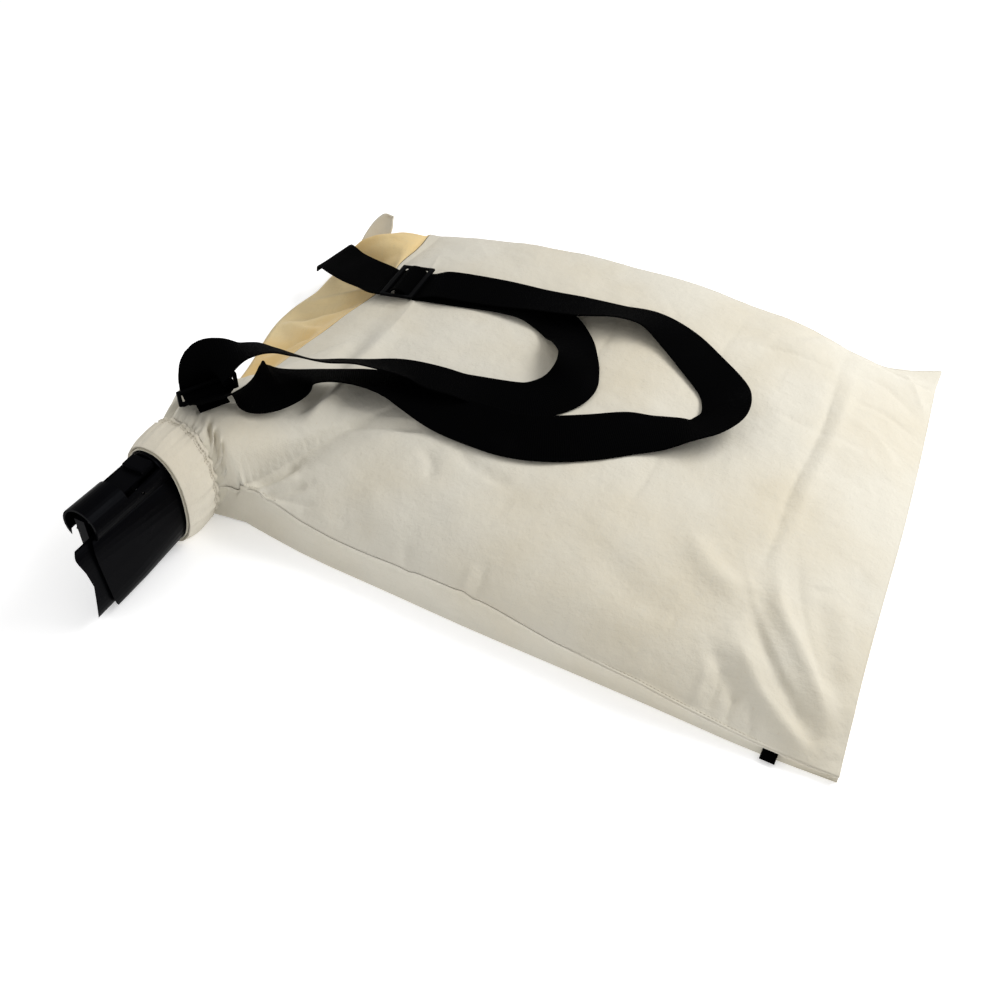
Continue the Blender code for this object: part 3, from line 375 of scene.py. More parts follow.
# ---------------------------------------------------------------- materials
class Shader:
    """A Principled material being wired up."""

    def __init__(self, name, colour, roughness):
        self.material = bpy.data.materials.new(name)
        self.material.use_nodes = True
        self.tree = self.material.node_tree
        self.surface = self.tree.nodes["Principled BSDF"]
        self.surface.inputs["Base Color"].default_value = (*colour, 1)
        self.surface.inputs["Roughness"].default_value = roughness
        self.bump = None

    def node(self, kind, inputs=(), **settings):
        """A new node, with values or links for its inputs."""
        made = self.tree.nodes.new(kind)
        for key, value in settings.items():
            setattr(made, key, value)
        for key, value in dict(inputs).items():
            if isinstance(value, bpy.types.NodeSocket):
                self.tree.links.new(value, made.inputs[key])
            else:
                made.inputs[key].default_value = value
        return made

    def coordinates(self, kind):
        if kind == "cloth":
            return self.node("ShaderNodeUVMap", uv_map="cloth").outputs["UV"]
        return self.node("ShaderNodeTexCoord").outputs["Object"]

    def noise(self, place, scale, detail=3.0, roughness=0.5, stretch=None):
        if stretch:
            place = self.node("ShaderNodeMapping", {"Vector": place, "Scale": stretch}).outputs[0]
        return self.node("ShaderNodeTexNoise", {"Vector": place, "Scale": scale,
                                                "Detail": detail,
                                                "Roughness": roughness}).outputs["Fac"]

    def ramp(self, factor, low, high, start=0.0, end=1.0):
        """Factor stretched from low and high to start and end."""
        made = self.node("ShaderNodeMapRange", {"Value": factor, "From Min": low,
                                                "From Max": high, "To Min": start,
                                                "To Max": end})
        return made.outputs[0]

    def wave(self, distance, pitch):
        """Sine of a distance, one turn to each pitch."""
        angle = self.node("ShaderNodeMath", {0: distance, 1: 2 * math.pi / pitch},
                          operation="MULTIPLY")
        return self.node("ShaderNodeMath", {0: angle.outputs[0]}, operation="SINE").outputs[0]

    def tint(self, factor, colour):
        """Mix towards another colour where factor is high, on top of what is there."""
        socket = self.surface.inputs["Base Color"]
        mix = self.node("ShaderNodeMix", data_type="RGBA")
        self.tree.links.new(factor, mix.inputs["Factor"])
        if socket.is_linked:
            self.tree.links.new(socket.links[0].from_socket, mix.inputs["A"])
        else:
            mix.inputs["A"].default_value = socket.default_value
        mix.inputs["B"].default_value = (*colour, 1)
        self.tree.links.new(mix.outputs["Result"], socket)

    def roughen(self, factor, low, high):
        self.tree.links.new(self.ramp(factor, 0.3, 0.7, low, high),
                            self.surface.inputs["Roughness"])

    def raise_by(self, height, distance, strength=1.0):
        inputs = {"Height": height, "Distance": distance, "Strength": strength}
        if self.bump:
            inputs["Normal"] = self.bump
        self.bump = self.node("ShaderNodeBump", inputs).outputs["Normal"]
        self.tree.links.new(self.bump, self.surface.inputs["Normal"])


def weave(shader, place, pitch):
    """Height of a plain weave of this thread spacing, 0 to 1."""
    parts = shader.node("ShaderNodeSeparateXYZ", {"Vector": place})
    warp, weft = (shader.wave(parts.outputs[axis], pitch) for axis in ("X", "Y"))
    product = shader.node("ShaderNodeMath", {0: warp, 1: weft}, operation="MULTIPLY")
    return shader.ramp(product.outputs[0], -1.0, 1.0)


def canvas(name, colour, shade, place="cloth"):
    """Unbleached cotton canvas: plain weave, slubs, flecks and soft crumpling."""
    shader = Shader(name, colour, 0.93)
    where = shader.coordinates(place)
    broad = shader.noise(shader.coordinates("object"), 7.0, 3.0)
    shader.tint(shader.ramp(broad, 0.42, 0.70), shade)
    threads = shader.noise(where, 60.0, 2.0, stretch=(14.0, 0.9, 1.0))
    crossing = shader.noise(where, 60.0, 2.0, stretch=(0.9, 14.0, 1.0))
    darker = tuple(0.90 * c for c in colour)
    shader.tint(shader.ramp(threads, 0.55, 0.80, 0.0, 0.55), darker)
    shader.tint(shader.ramp(crossing, 0.55, 0.80, 0.0, 0.55), darker)
    flecks = shader.noise(where, 420.0, 2.0)
    shader.tint(shader.ramp(flecks, 0.62, 0.78, 0.0, 0.35), (0.55, 0.47, 0.33))
    shader.surface.inputs["Sheen Weight"].default_value = 0.12
    shader.surface.inputs["Sheen Roughness"].default_value = 0.5
    shader.surface.inputs["Specular IOR Level"].default_value = 0.25
    shader.raise_by(shader.noise(shader.coordinates("object"), 26.0, 5.0, 0.6), 0.0052, 0.55)
    shader.raise_by(shader.noise(shader.coordinates("object"), 90.0, 4.0, 0.6), 0.0012, 0.55)
    shader.raise_by(weave(shader, where, 0.0011), 0.00016, 0.7)
    shader.raise_by(flecks, 0.00012, 0.5)
    return shader.material


def webbing(name, place="cloth"):
    """Black webbing with cross ribs and a fine selvedge."""
    shader = Shader(name, (0.0006, 0.0006, 0.0007), 0.85)
    where = shader.coordinates(place)
    parts = shader.node("ShaderNodeSeparateXYZ", {"Vector": where})
    height = shader.ramp(shader.wave(parts.outputs["X"], RIB_PITCH), -1.0, 1.0)
    fuzz = shader.noise(where, 900.0, 2.0)
    shader.tint(shader.ramp(fuzz, 0.55, 0.8, 0.0, 0.6), (0.0022, 0.0022, 0.0025))
    worn = shader.noise(where, 22.0, 4.0)
    shader.tint(shader.ramp(worn, 0.58, 0.80, 0.0, 0.5), (0.0018, 0.0018, 0.0020))
    shader.surface.inputs["Specular IOR Level"].default_value = 0.012
    shader.raise_by(height, 0.00045, 0.8)
    shader.raise_by(weave(shader, where, 0.0010), 0.00018, 0.6)
    shader.raise_by(fuzz, 0.0001, 0.5)
    return shader.material


def moulded(name, colour, low, high, grain=1400.0):
    """Injection-moulded plastic with a fine grain, slight scuffs and soft sink marks."""
    shader = Shader(name, colour, low)
    where = shader.coordinates("object")
    scuffs = shader.noise(where, 45.0, 5.0, 0.65)
    shader.roughen(scuffs, low, high)
    shader.tint(shader.ramp(shader.noise(where, 160.0, 4.0), 0.60, 0.85, 0.0, 0.35),
                tuple(2.2 * c for c in colour))
    shader.surface.inputs["Specular IOR Level"].default_value = 0.018
    shader.surface.inputs["Specular Tint"].default_value = (0.82, 0.88, 1.0, 1)
    shader.raise_by(shader.noise(where, 28.0, 2.0), 0.0006, 0.25)
    shader.raise_by(shader.noise(where, grain, 2.0), 0.00006, 0.35)
    return shader.material


def metal(name):
    """Plated metal, slightly tarnished."""
    shader = Shader(name, (0.60, 0.59, 0.56), 0.28)
    where = shader.coordinates("object")
    shader.surface.inputs["Metallic"].default_value = 1.0
    shader.roughen(shader.noise(where, 300.0, 4.0), 0.20, 0.42)
    shader.tint(shader.ramp(shader.noise(where, 120.0, 3.0), 0.55, 0.8, 0.0, 0.5),
                (0.42, 0.40, 0.37))
    shader.raise_by(shader.noise(where, 900.0, 2.0), 0.00004, 0.4)
    return shader.material


def floor_skin():
    shader = Shader("pale_floor", (0.97, 0.97, 0.97), 0.9)
    where = shader.coordinates("object")
    shader.tint(shader.ramp(shader.noise(where, 3.0, 2.0), 0.4, 0.7, 0.0, 0.3),
                (0.955, 0.955, 0.96))
    shader.surface.inputs["Emission Color"].default_value = (1.0, 1.0, 1.0, 1)
    shader.surface.inputs["Emission Strength"].default_value = 0.32
    return shader.material


CREAM = canvas("natural_cotton_canvas", (0.640, 0.607, 0.520), (0.605, 0.552, 0.438))
CREAM_PANEL = canvas("natural_cotton_canvas_lining", (0.620, 0.585, 0.485),
                     (0.600, 0.552, 0.440), "object")
# Painted shade: a golden copy of the canvas for the front gusset; its colour and its deeper gold
# patches stand in for the shade that gusset lies in
CREAM_SHADED = canvas("natural_cotton_canvas_painted_shade", (0.750, 0.600, 0.335),
                      (0.700, 0.480, 0.190))
CREAM_CUFF = canvas("natural_cotton_canvas_hem", (0.660, 0.615, 0.515), (0.635, 0.575, 0.460))
BLACK_WEBBING = webbing("black_webbing")
TAB_WEBBING = webbing("black_webbing_tab", "object")
MOULDED = moulded("black_moulded_plastic", (0.0014, 0.0014, 0.0018), 0.26, 0.42)
NYLON = moulded("black_glossy_nylon", (0.0018, 0.0018, 0.0020), 0.28, 0.42, 900.0)
TAPE = canvas("cream_zipper_tape", (0.60, 0.55, 0.45), (0.57, 0.51, 0.40), "object")
NICKEL = metal("nickel_plated_steel")
ELASTIC = canvas("white_knitted_elastic", (0.68, 0.67, 0.64), (0.62, 0.61, 0.58), "object")
THREAD = canvas("cream_sewing_thread", (0.66, 0.62, 0.52), (0.60, 0.55, 0.44), "object")


# ---------------------------------------------------------------- shoulder strap
def local_frame(centre, first, second):
    """Frame with X along first and Y as near second as a right angle allows."""
    x_axis = Vector(first).normalized()
    z_axis = x_axis.cross(Vector(second)).normalized()
    y_axis = z_axis.cross(x_axis)
    turn = Matrix((x_axis, y_axis, z_axis)).transposed().to_4x4()
    return Matrix.Translation(Vector(centre)) @ turn


# X along the strap, Y across it, Z up through the buckle
GLIDE = local_frame((0.002, 0.338, 0.0790), (0.9865, 0.0863, 0.139), (-0.087, 0.996, 0.0))
# X along the ring's bars, Y towards the neck's mouth side, Z up in the ring's plane
RING = local_frame((-0.0335, 0.0387, 0.1360), (0.5, 0.866, 0.0), (0.866, -0.5, 0.0))
ACROSS_GLIDE = (-0.087, 0.996, 0.0)
ALONG_BAR = (0.5, 0.866, 0.0)


def in_glide(along_strap, height):
    """Strap station in the tri-glide, at a distance along the strap and above its bars."""
    return (GLIDE @ Vector((along_strap, 0, height)), ACROSS_GLIDE)


def in_ring(forward, rise):
    """Strap station around the ring's upper bar."""
    return (RING @ Vector((0, forward, -rise)), ALONG_BAR)


# Middle of the webbing and the direction of its width, from the sewn end on the front gusset,
# through the buckle, round the long loop to the ring, then back to the buckle's middle bar
STRAP_ROUTE = [
    ((-0.139, 0.390, 0.0300), (0.36, 0.90, 0.24)),
    ((-0.131, 0.386, 0.0425), (0.38, 0.89, 0.22)),
    ((-0.103, 0.368, 0.0520), (0.39, 0.91, 0.14)),
    ((-0.073, 0.353, 0.0605), (0.27, 0.95, 0.12)),
    ((-0.045, 0.343, 0.067), (0.14, 0.99, 0.07)),
    *(in_glide(*step) for step in (
        (-0.0300, -0.0036), (-0.0165, -0.0031), (-0.0115, -0.0012), (-0.0075, 0.0028),
        (-0.0035, 0.0049), (0.0010, 0.0050), (0.0050, 0.0044), (0.0090, 0.0014),
        (0.0125, -0.0020), (0.0165, -0.0028), (0.0240, -0.0022), (0.0330, 0.0004))),
    ((0.052, 0.346, 0.0865), (-0.14, 0.99, 0.0)),
    ((0.104, 0.362, 0.0835), (-0.21, 0.98, 0.0)),
    ((0.152, 0.370, 0.0855), (-0.12, 0.98, -0.14)),
    ((0.197, 0.377, 0.0885), (-0.15, 0.97, -0.21)),
    ((0.239, 0.387, 0.0900), (-0.16, 0.91, -0.37)),
    ((0.275, 0.394, 0.0860), (0.13, 0.95, -0.29)),
    ((0.312, 0.382, 0.0800), (0.47, 0.88, -0.09)),
    ((0.348, 0.358, 0.0775), (0.60, 0.80, 0.03)),
    ((0.377, 0.335, 0.0770), (0.70, 0.70, 0.14)),
    ((0.391, 0.310, 0.0825), (0.86, 0.40, 0.31)),
    ((0.395, 0.288, 0.0840), (0.92, -0.13, 0.37)),
    ((0.388, 0.269, 0.0835), (0.63, -0.70, 0.34)),
    ((0.378, 0.258, 0.0820), (0.36, -0.88, 0.31)),
    ((0.362, 0.249, 0.0795), (0.46, -0.87, 0.14)),
    ((0.346, 0.239, 0.0785), (0.55, -0.84, -0.03)),
    ((0.325, 0.223, 0.0820), (0.61, -0.75, -0.26)),
    ((0.295, 0.196, 0.0850), (0.60, -0.71, -0.36)),
    ((0.263, 0.175, 0.0860), (0.46, -0.80, -0.37)),
    ((0.228, 0.162, 0.0860), (0.21, -0.92, -0.34)),
    ((0.189, 0.160, 0.0850), (0.00, -0.96, -0.29)),
    ((0.153, 0.163, 0.0830), (-0.10, -0.98, -0.19)),
    ((0.112, 0.171, 0.0835), (-0.07, -1.00, 0.0)),
    ((0.083, 0.166, 0.0900), (0.33, -0.92, 0.21)),
    ((0.056, 0.153, 0.0970), (0.41, -0.83, 0.37)),
    ((0.031, 0.138, 0.1000), (0.59, -0.70, 0.41)),
    ((0.014, 0.121, 0.1030), (0.82, -0.51, 0.26)),
    ((0.009, 0.102, 0.1090), (0.92, -0.15, -0.35)),
    ((0.010, 0.083, 0.1200), (0.60, -0.05, -0.80)),
    ((0.009, 0.064, 0.1280), (0.15, 0.05, -0.98)),
    ((0.004, 0.047, 0.1340), (-0.15, 0.50, -0.80)),
    ((-0.006, 0.036, 0.1360), (-0.20, 0.75, -0.50)),
    ((-0.0155, 0.0320, 0.1340), (0.10, 0.90, -0.25)),
    *(in_ring(*step) for step in (
        (0.0110, -0.0050), (0.0040, -0.0040), (-0.0005, -0.0038), (-0.0030, -0.0032),
        (-0.0038, -0.0010), (-0.0038, 0.0050))),
    ((-0.0340, 0.0405, 0.1480), (0.75, 0.66, 0.0)),
    ((-0.0295, 0.0430, 0.1570), (0.97, 0.20, 0.0)),
    ((-0.0195, 0.0510, 0.1640), (0.90, -0.35, -0.10)),
    ((-0.0060, 0.0660, 0.1675), (0.75, -0.58, 0.30)),
    ((0.005, 0.083, 0.1630), (0.70, -0.56, 0.42)),
    ((0.016, 0.100, 0.1500), (0.69, -0.50, 0.47)),
    ((0.035, 0.123, 0.1310), (0.69, -0.48, 0.53)),
    ((0.053, 0.149, 0.1180), (0.67, -0.53, 0.51)),
    ((0.075, 0.170, 0.1070), (0.61, -0.67, 0.42)),
    ((0.098, 0.190, 0.0955), (0.53, -0.81, 0.26)),
    ((0.123, 0.197, 0.0900), (0.20, -0.96, 0.21)),
    ((0.151, 0.201, 0.0880), (0.20, -0.96, 0.21)),
    ((0.187, 0.212, 0.0805), (0.31, -0.95, -0.03)),
    ((0.215, 0.222, 0.0800), (0.57, -0.82, -0.09)),
    ((0.235, 0.242, 0.0815), (0.80, -0.56, -0.21)),
    ((0.244, 0.264, 0.0870), (0.90, -0.16, -0.41)),
    ((0.238, 0.288, 0.0900), (0.81, 0.30, -0.50)),
    ((0.222, 0.312, 0.0865), (0.77, 0.54, -0.34)),
    ((0.204, 0.333, 0.0805), (0.76, 0.64, -0.09)),
    ((0.180, 0.351, 0.0785), (0.55, 0.84, 0.0)),
    ((0.150, 0.360, 0.0790), (0.26, 0.96, -0.07)),
    ((0.114, 0.359, 0.0788), (-0.05, 1.0, -0.06)),
    ((0.064, 0.348, 0.0788), (-0.21, 0.98, 0.0)),
    *(in_glide(*step) for step in (
        (0.0330, -0.0052), (0.0200, -0.0053), (0.0110, -0.0050), (0.0050, -0.0036),
        (0.0000, -0.0029), (-0.0028, -0.0025), (-0.0035, 0.0000), (-0.0026, 0.0025),
        (0.0000, 0.0029), (0.0030, 0.0023), (0.0052, 0.0002), (0.0072, -0.0022))),
]


def strap_stations(step):
    """Shares of the route at an even spacing, at least four between route points."""
    middles = np.array([tuple(middle) for middle, _ in STRAP_ROUTE])
    spans = np.linalg.norm(np.diff(middles, axis=0), axis=1)
    shares = []
    for index, span in enumerate(spans):
        count = max(4, round(span / step))
        shares += [(index + part / count) / len(spans) for part in range(count)]
    return np.array(shares + [1.0])


def strap_frame(shares):
    """Centre, width direction and face normal of the webbing at shares of its route."""
    middles = [tuple(middle) for middle, _ in STRAP_ROUTE]
    widths = [tuple(width) for _, width in STRAP_ROUTE]
    centre = along(middles, shares)
    nudge = 5e-4
    run = unit(along(middles, np.minimum(shares + nudge, 1))
               - along(middles, np.maximum(shares - nudge, 0)))
    width = along(widths, shares)
    width = unit(width - run * np.sum(width * run, axis=1)[:, None])
    return centre, width, np.cross(run, width)


def build_strap():
    """The whole strap as one closed ribbon."""
    shares = strap_stations(0.0028)
    centre, width, face = strap_frame(shares)
    lengths = run_lengths(centre)
    half, thin = WEBBING_WIDTH / 2, WEBBING_THICK / 2
    # one loop round the webbing: along its upper face, round a selvedge and back below
    across = [0.0, 0.5, 0.86, 0.93, 0.985, 1.0, 0.985, 0.93, 0.86, 0.5]
    lift = [1.0, 1.0, 0.92, 1.12, 0.75, 0.0, -0.75, -1.12, -0.92, -1.0]
    loop = list(zip(across, lift)) + [(-a, -b) for a, b in zip(across, lift)]
    points, uv = [], []
    for a, b in loop:
        points.append(centre + width * (a * half) + face * (b * thin))
        uv.append(np.column_stack([lengths, np.full(len(lengths), a * half)]))
    count, stations = len(loop), len(shares)
    points = np.stack(points, axis=1).reshape(-1, 3)
    uv = np.stack(uv, axis=1).reshape(-1, 2)
    faces = tube_faces(count, stations - 1)
    faces.append(tuple(range(count))[::-1])
    faces.append(tuple(range((stations - 1) * count, stations * count)))
    strap = piece("strap_webbing", points, faces, BLACK_WEBBING, uv, ["shoulder_strap"])


def strap_surface():
    """The webbing's middle surface, to keep the cloth below it."""
    shares = strap_stations(0.005)
    centre, width, _ = strap_frame(shares)
    half = WEBBING_WIDTH / 2 + 0.001
    points = np.stack([centre - width * half, centre, centre + width * half],
                      axis=1).reshape(-1, 3)
    return BVHTree.FromPolygons([tuple(p) for p in points], grid_faces(2, len(shares) - 1))


def press_under_strap(points, surface):
    """Lower cloth that would come through the webbing lying on it."""
    reach, clearance = 0.022, 0.0016
    for index, point in enumerate(points):
        start = Vector((point[0], point[1], point[2] - reach))
        hit = surface.ray_cast(start, Vector((0, 0, 1)), 2 * reach)[0]
        if hit is not None:
            points[index, 2] = min(point[2], hit.z - clearance)
    return points


# ---------------------------------------------------------------- bag
# Mesh of the top panel: columns along the cut corner and beyond it, rows, and rows to the neck
TOP_COLUMNS = (90, 230)
TOP_ROWS = 190
APRON_ROWS = 44
# Height of the gussets' lower edges above the floor
SOLE_HEIGHT = 0.0012

# Deep folds round the neck: their share round it at the panel and at the hem, height, width
DEEP_FOLDS = [(0.700, 0.780, -0.0060, 0.030), (0.790, 0.880, -0.0075, 0.026),
              (0.890, 0.940, -0.0050, 0.018), (0.960, 0.975, -0.0040, 0.014),
              (0.845, 0.905, 0.0036, 0.022), (0.560, 0.600, -0.0045, 0.026),
              (0.380, 0.400, -0.0050, 0.030), (0.180, 0.220, -0.0040, 0.030)]


def neck_folds(share, reach):
    """Outward lift of the gathered cloth; share runs front to near side, reach to the hem."""
    pleats = np.sin(2 * math.pi * (9.5 * share + 0.35 * np.sin(7 * share)))
    body = np.exp(-((reach - 0.62) / 0.33)**2)
    fine = np.sin(2 * math.pi * (23 * share + 0.5 * np.sin(11 * share)))
    lift = 0.0022 * body * pleats + 0.0011 * smooth(0.55, 1.0, reach) * fine
    for start, end, height, width in DEEP_FOLDS:
        middle = start + (end - start) * reach
        lift = lift + height * np.exp(-((share - middle) / width)**2) * smooth(0.0, 0.45, reach)
    return lift


def gathered_apron(start, inner, surface):
    """Cloth drawn in from the panel's cut corner to the gathering line, row by row."""
    run = unit(start - inner)
    column = np.arange(len(start))
    angle = SEAM_ANGLES[0] + (SEAM_ANGLES[1] - SEAM_ANGLES[0]) * column / TOP_COLUMNS[0]
    ring_x, ring_z = ring_points(angle, 0.0012)
    end = np.column_stack([ring_x, np.full(len(start), GATHER_Y), ring_z])
    radial = unit(end - np.array((NECK_X, GATHER_Y, (NECK_LOW + NECK_HIGH) / 2)))
    rows = []
    for row in range(1, APRON_ROWS + 1):
        t = row / APRON_ROWS
        place = hermite(start, run * 0.050, end, np.array((0, -0.045, 0)) - radial * 0.020, t)
        rows.append(place + radial * neck_folds(column / TOP_COLUMNS[0], t)[:, None])
    return press_under_strap(np.concatenate(rows), surface)


def build_top(surface):
    """The top panel down to the gathering line; gives back its near, front, far and end edges."""
    columns = sum(TOP_COLUMNS)
    u = np.concatenate([np.linspace(0, CUT_SHARE, TOP_COLUMNS[0] + 1),
                        np.linspace(CUT_SHARE, 1, TOP_COLUMNS[1] + 1)[1:]])
    v = np.linspace(0, 1, TOP_ROWS + 1)**1.15
    u, v = np.meshgrid(u, v)
    plan = top_plan(u, v).reshape(-1, 2)
    x, y = plan[:, 0], plan[:, 1]
    points = np.column_stack([x, y, top_height(x, y)])
    border = np.minimum.reduce([y + 0.010, 0.512 + 0.04 * x - y, 0.622 - 0.108 * y - x])
    rippled = smooth(0.0, 0.030, border)
    points[:, 2] += crease_height(x, y) + cloth_ripple(points) * rippled
    rolled = np.exp(-np.maximum(0.0, y + 0.004) / 0.006) * smooth(0.10, 0.16, x)
    points[:, 2] -= 0.0020 * rolled
    points = press_under_strap(points, surface)

    first, width = len(points), TOP_COLUMNS[0] + 1
    apron = gathered_apron(points[:width], points[columns + 1:columns + 1 + width], surface)
    faces = grid_faces(columns, TOP_ROWS)
    for row in range(APRON_ROWS):
        lower = first + row * width
        upper = lower - width if row else 0
        faces += [(upper + c, lower + c, lower + c + 1, upper + c + 1) for c in range(width - 1)]
    points = np.vstack([points, apron])
    made = piece("bag_top", points, faces, CREAM, points[:, :2], ["bag_top_panel"],
                 thickness=CANVAS, side=-1.0)
    edge = points[:first].reshape(TOP_ROWS + 1, columns + 1, 3)
    sides = apron.reshape(APRON_ROWS, width, 3)
    near_line = np.vstack([sides[::-1, -1], edge[0, TOP_COLUMNS[0]:]])
    front_line = np.vstack([sides[::-1, 0], edge[:, 0]])
    far_line = edge[-1]
    end_line = edge[:, -1]
    return near_line, front_line, far_line, end_line


def outward_of(line, side):
    """Level direction away from the bag along an edge; side is the sign of its turn."""
    run = np.gradient(line, axis=0)
    return unit(np.column_stack([run[:, 1], -run[:, 0], np.zeros(len(run))]) * side)


def build_wall(name, node, top, base, out, skin, hollow, bow, lip, wrinkle, swell=None,
               rows=26):
    """A wall of cloth from its base edge up to the seam under the top panel.

    hollow bends its profile, bow pushes its middle out, lip tucks it in below the seam, and
    wrinkle and swell crumple it.
    """
    top = top - np.array((0, 0, 0.0004)) + out * 0.0002
    share = np.concatenate([np.linspace(0, 0.86, rows - 8), np.linspace(0.86, 1.0, 10)[1:]])
    lengths = run_lengths(top)
    points, uv = [], []
    for v in share:
        row = base + (top - base) * v
        row[:, 2] = base[:, 2] + (top[:, 2] - base[:, 2]) * v**hollow
        height = np.maximum(top[:, 2] - base[:, 2], 0.004)
        under = np.exp(-(((1 - v) * height - 0.0052) / 0.0030)**2)
        edge = np.exp(-((1 - v) * height / 0.0024)**2)
        free = math.sin(math.pi * min(1.0, v))
        folds = undulation(row, 0.030, 2.0) + 0.5 * undulation(row, 0.013, 6.0)
        row += out * (bow * free - 0.7 * lip * under + 0.3 * lip * edge
                      + wrinkle * folds * free)[:, None]
        if swell:
            outwards, upwards = swell(row, v)
            row += out * outwards[:, None]
            row[:, 2] += upwards
        points.append(row)
        uv.append(np.column_stack([lengths, v * height]))
    made = piece(name, np.vstack(points), grid_faces(len(top) - 1, len(share) - 1), skin,
                 np.vstack(uv), [node], thickness=CANVAS, side=0.0)


def build_stitches(name, line, up):
    """A row of thread stitches along a line, each a small flattened loop."""
    spacing, length, thick = 0.0036, 0.0025, 0.00042
    total = run_lengths(line)
    points, faces = [], []
    for index in range(int(total[-1] / spacing)):
        at = (index + 0.5) * spacing
        ends = [at_length(line, total, at + k * length / 2) for k in (-1, 0, 1)]
        raise_up = at_length(up, total, at)
        run = ends[2] - ends[0]
        run /= max(np.linalg.norm(run), 1e-9)
        side = np.cross(run, raise_up)
        side /= max(np.linalg.norm(side), 1e-9)
        start = len(points)
        for end, lift, grow in zip(ends, (-0.2, 0.55, -0.2), (0.6, 1.0, 0.6)):
            centre = end + raise_up * lift * thick
            points += [centre + (side * math.cos(a) + raise_up * math.sin(a)) * thick * grow
                       for a in (0, math.pi / 2, math.pi, 3 * math.pi / 2)]
        faces += [tuple(start + corner for corner in face) for face in tube_faces(4, 2)]
        faces.append((start + 3, start + 2, start + 1, start))
        faces.append((start + 8, start + 9, start + 10, start + 11))
    made = piece(name, points, faces, THREAD)


def with_height(plan, height):
    return np.column_stack([plan, np.full(len(plan), height)])


def sole_line(degrees, plan, count):
    """Lower edge of a gusset, from under the gathering line along the bottom panel's edge."""
    x, z = ring_points(np.array([math.radians(degrees)]), 0.001)
    return resample(np.vstack([[(x[0], GATHER_Y, z[0])], with_height(plan, SOLE_HEIGHT)]), count)


# Where the strap is sewn to the front gusset, and the folds across that gusset: place along it,
# slant from sole to seam, height
STRAP_ANCHOR = (-0.134, 0.386)
FRONT_FOLDS = [(0.345, 0.030, 0.0050), (0.318, 0.040, -0.0040), (0.290, 0.025, 0.0035),
               (0.250, 0.030, -0.0030), (0.270, -0.040, 0.0045), (0.228, 0.030, 0.0030),
               (0.405, 0.020, -0.0050), (0.432, 0.030, 0.0045)]


def front_swell(row, v):
    """Fullness of the front gusset: held up by the strap's sewn end and puffed at the corner."""
    anchor = np.hypot(row[:, 0] - STRAP_ANCHOR[0], row[:, 1] - STRAP_ANCHOR[1]) / 0.034
    held = 0.027 * (1 - v**4) * v**0.3 * np.exp(-anchor**2)
    corner = smooth(0.385, 0.430, row[:, 1]) * math.sin(math.pi * min(1.0, v))**0.6
    corner = corner * (1 - smooth(-0.012, 0.0, row[:, 1] - 0.455 - 0.013 * v))
    fold = 0.0
    for place, tilt, height in FRONT_FOLDS:
        away = (row[:, 1] - place - tilt * (v - 0.5)) / 0.0080
        fold = fold + 1.5 * height * np.exp(-away**2) * math.sin(math.pi * min(1.0, v))
    return 0.020 * corner + 0.3 * fold, held + 0.026 * corner + fold


def build_gussets(near_line, front_line, far_line):
    """The near, front and far gussets, and the stitching along the near seam."""
    near = resample(near_line, 420)
    sole = sole_line(-80, base_plan(np.linspace(CUT_SHARE, 1, 90), 0.0), 420)
    out = outward_of(near, 1)
    build_wall("near_gusset", "near_side_gusset", near, sole, out, CREAM, 1.0, -0.0015, 0.0010,
               0.0009)
    build_stitches("near_seam_stitches", near - out * 0.0028 + (0, 0, 0.0003),
                   np.tile((0.0, 0.0, 1.0), (len(near), 1)))

    front = resample(front_line, 300)
    sole = sole_line(262, base_plan(0.0, np.linspace(0, 1, 90)), 300)
    out = outward_of(front, -1)
    # The front gusset wears the golden canvas with painted shade
    build_wall("front_wall", "front_gusset", front, sole, out, CREAM_SHADED, 1.7, 0.0, 0.0030,
               0.0036, front_swell)

    far = resample(far_line, 260)
    sole = resample(with_height(base_plan(np.linspace(0, 1, 90), 1.0), SOLE_HEIGHT), 260)
    out = outward_of(far, -1)
    build_wall("far_wall", "far_side_gusset", far, sole, out, CREAM, 0.9, 0.0035, 0.0024,
               0.0014)


def build_end(end_line):
    """Canvas above the zipper at the far end, from the zipper's tape up to the top panel."""
    top = resample(end_line, 220)
    y = top[:, 1]
    share = (y - ZIP_START[1]) / (ZIP_END[1] - ZIP_START[1])
    seam = ZIP_START + (ZIP_END - ZIP_START) * share[:, None]
    # the slot round the zipper is shut past its ends, and the corners reach down to the sole
    slot = 0.0005 + 0.0021 * window(0.034, 0.048, 0.484, 0.498, y)
    opened = window(0.0530, 0.0560, 0.4760, 0.4790, y)
    slot = slot * opened - (slot + 0.0004) * (1 - opened)
    base = np.column_stack([seam, 0.5 * end_height(y) + slot])
    inner = window(0.0050, 0.0110, 0.5250, 0.5310, y)
    base[:, 2] = SOLE_HEIGHT + (base[:, 2] - SOLE_HEIGHT) * inner
    base[:, 2] = np.minimum(base[:, 2], top[:, 2] - 0.0012)
    build_wall("end_upper", "end_panel_upper", top, base, outward_of(top, 1), CREAM, 1.0, -0.0030,
               0.0008, 0.0001, rows=16)


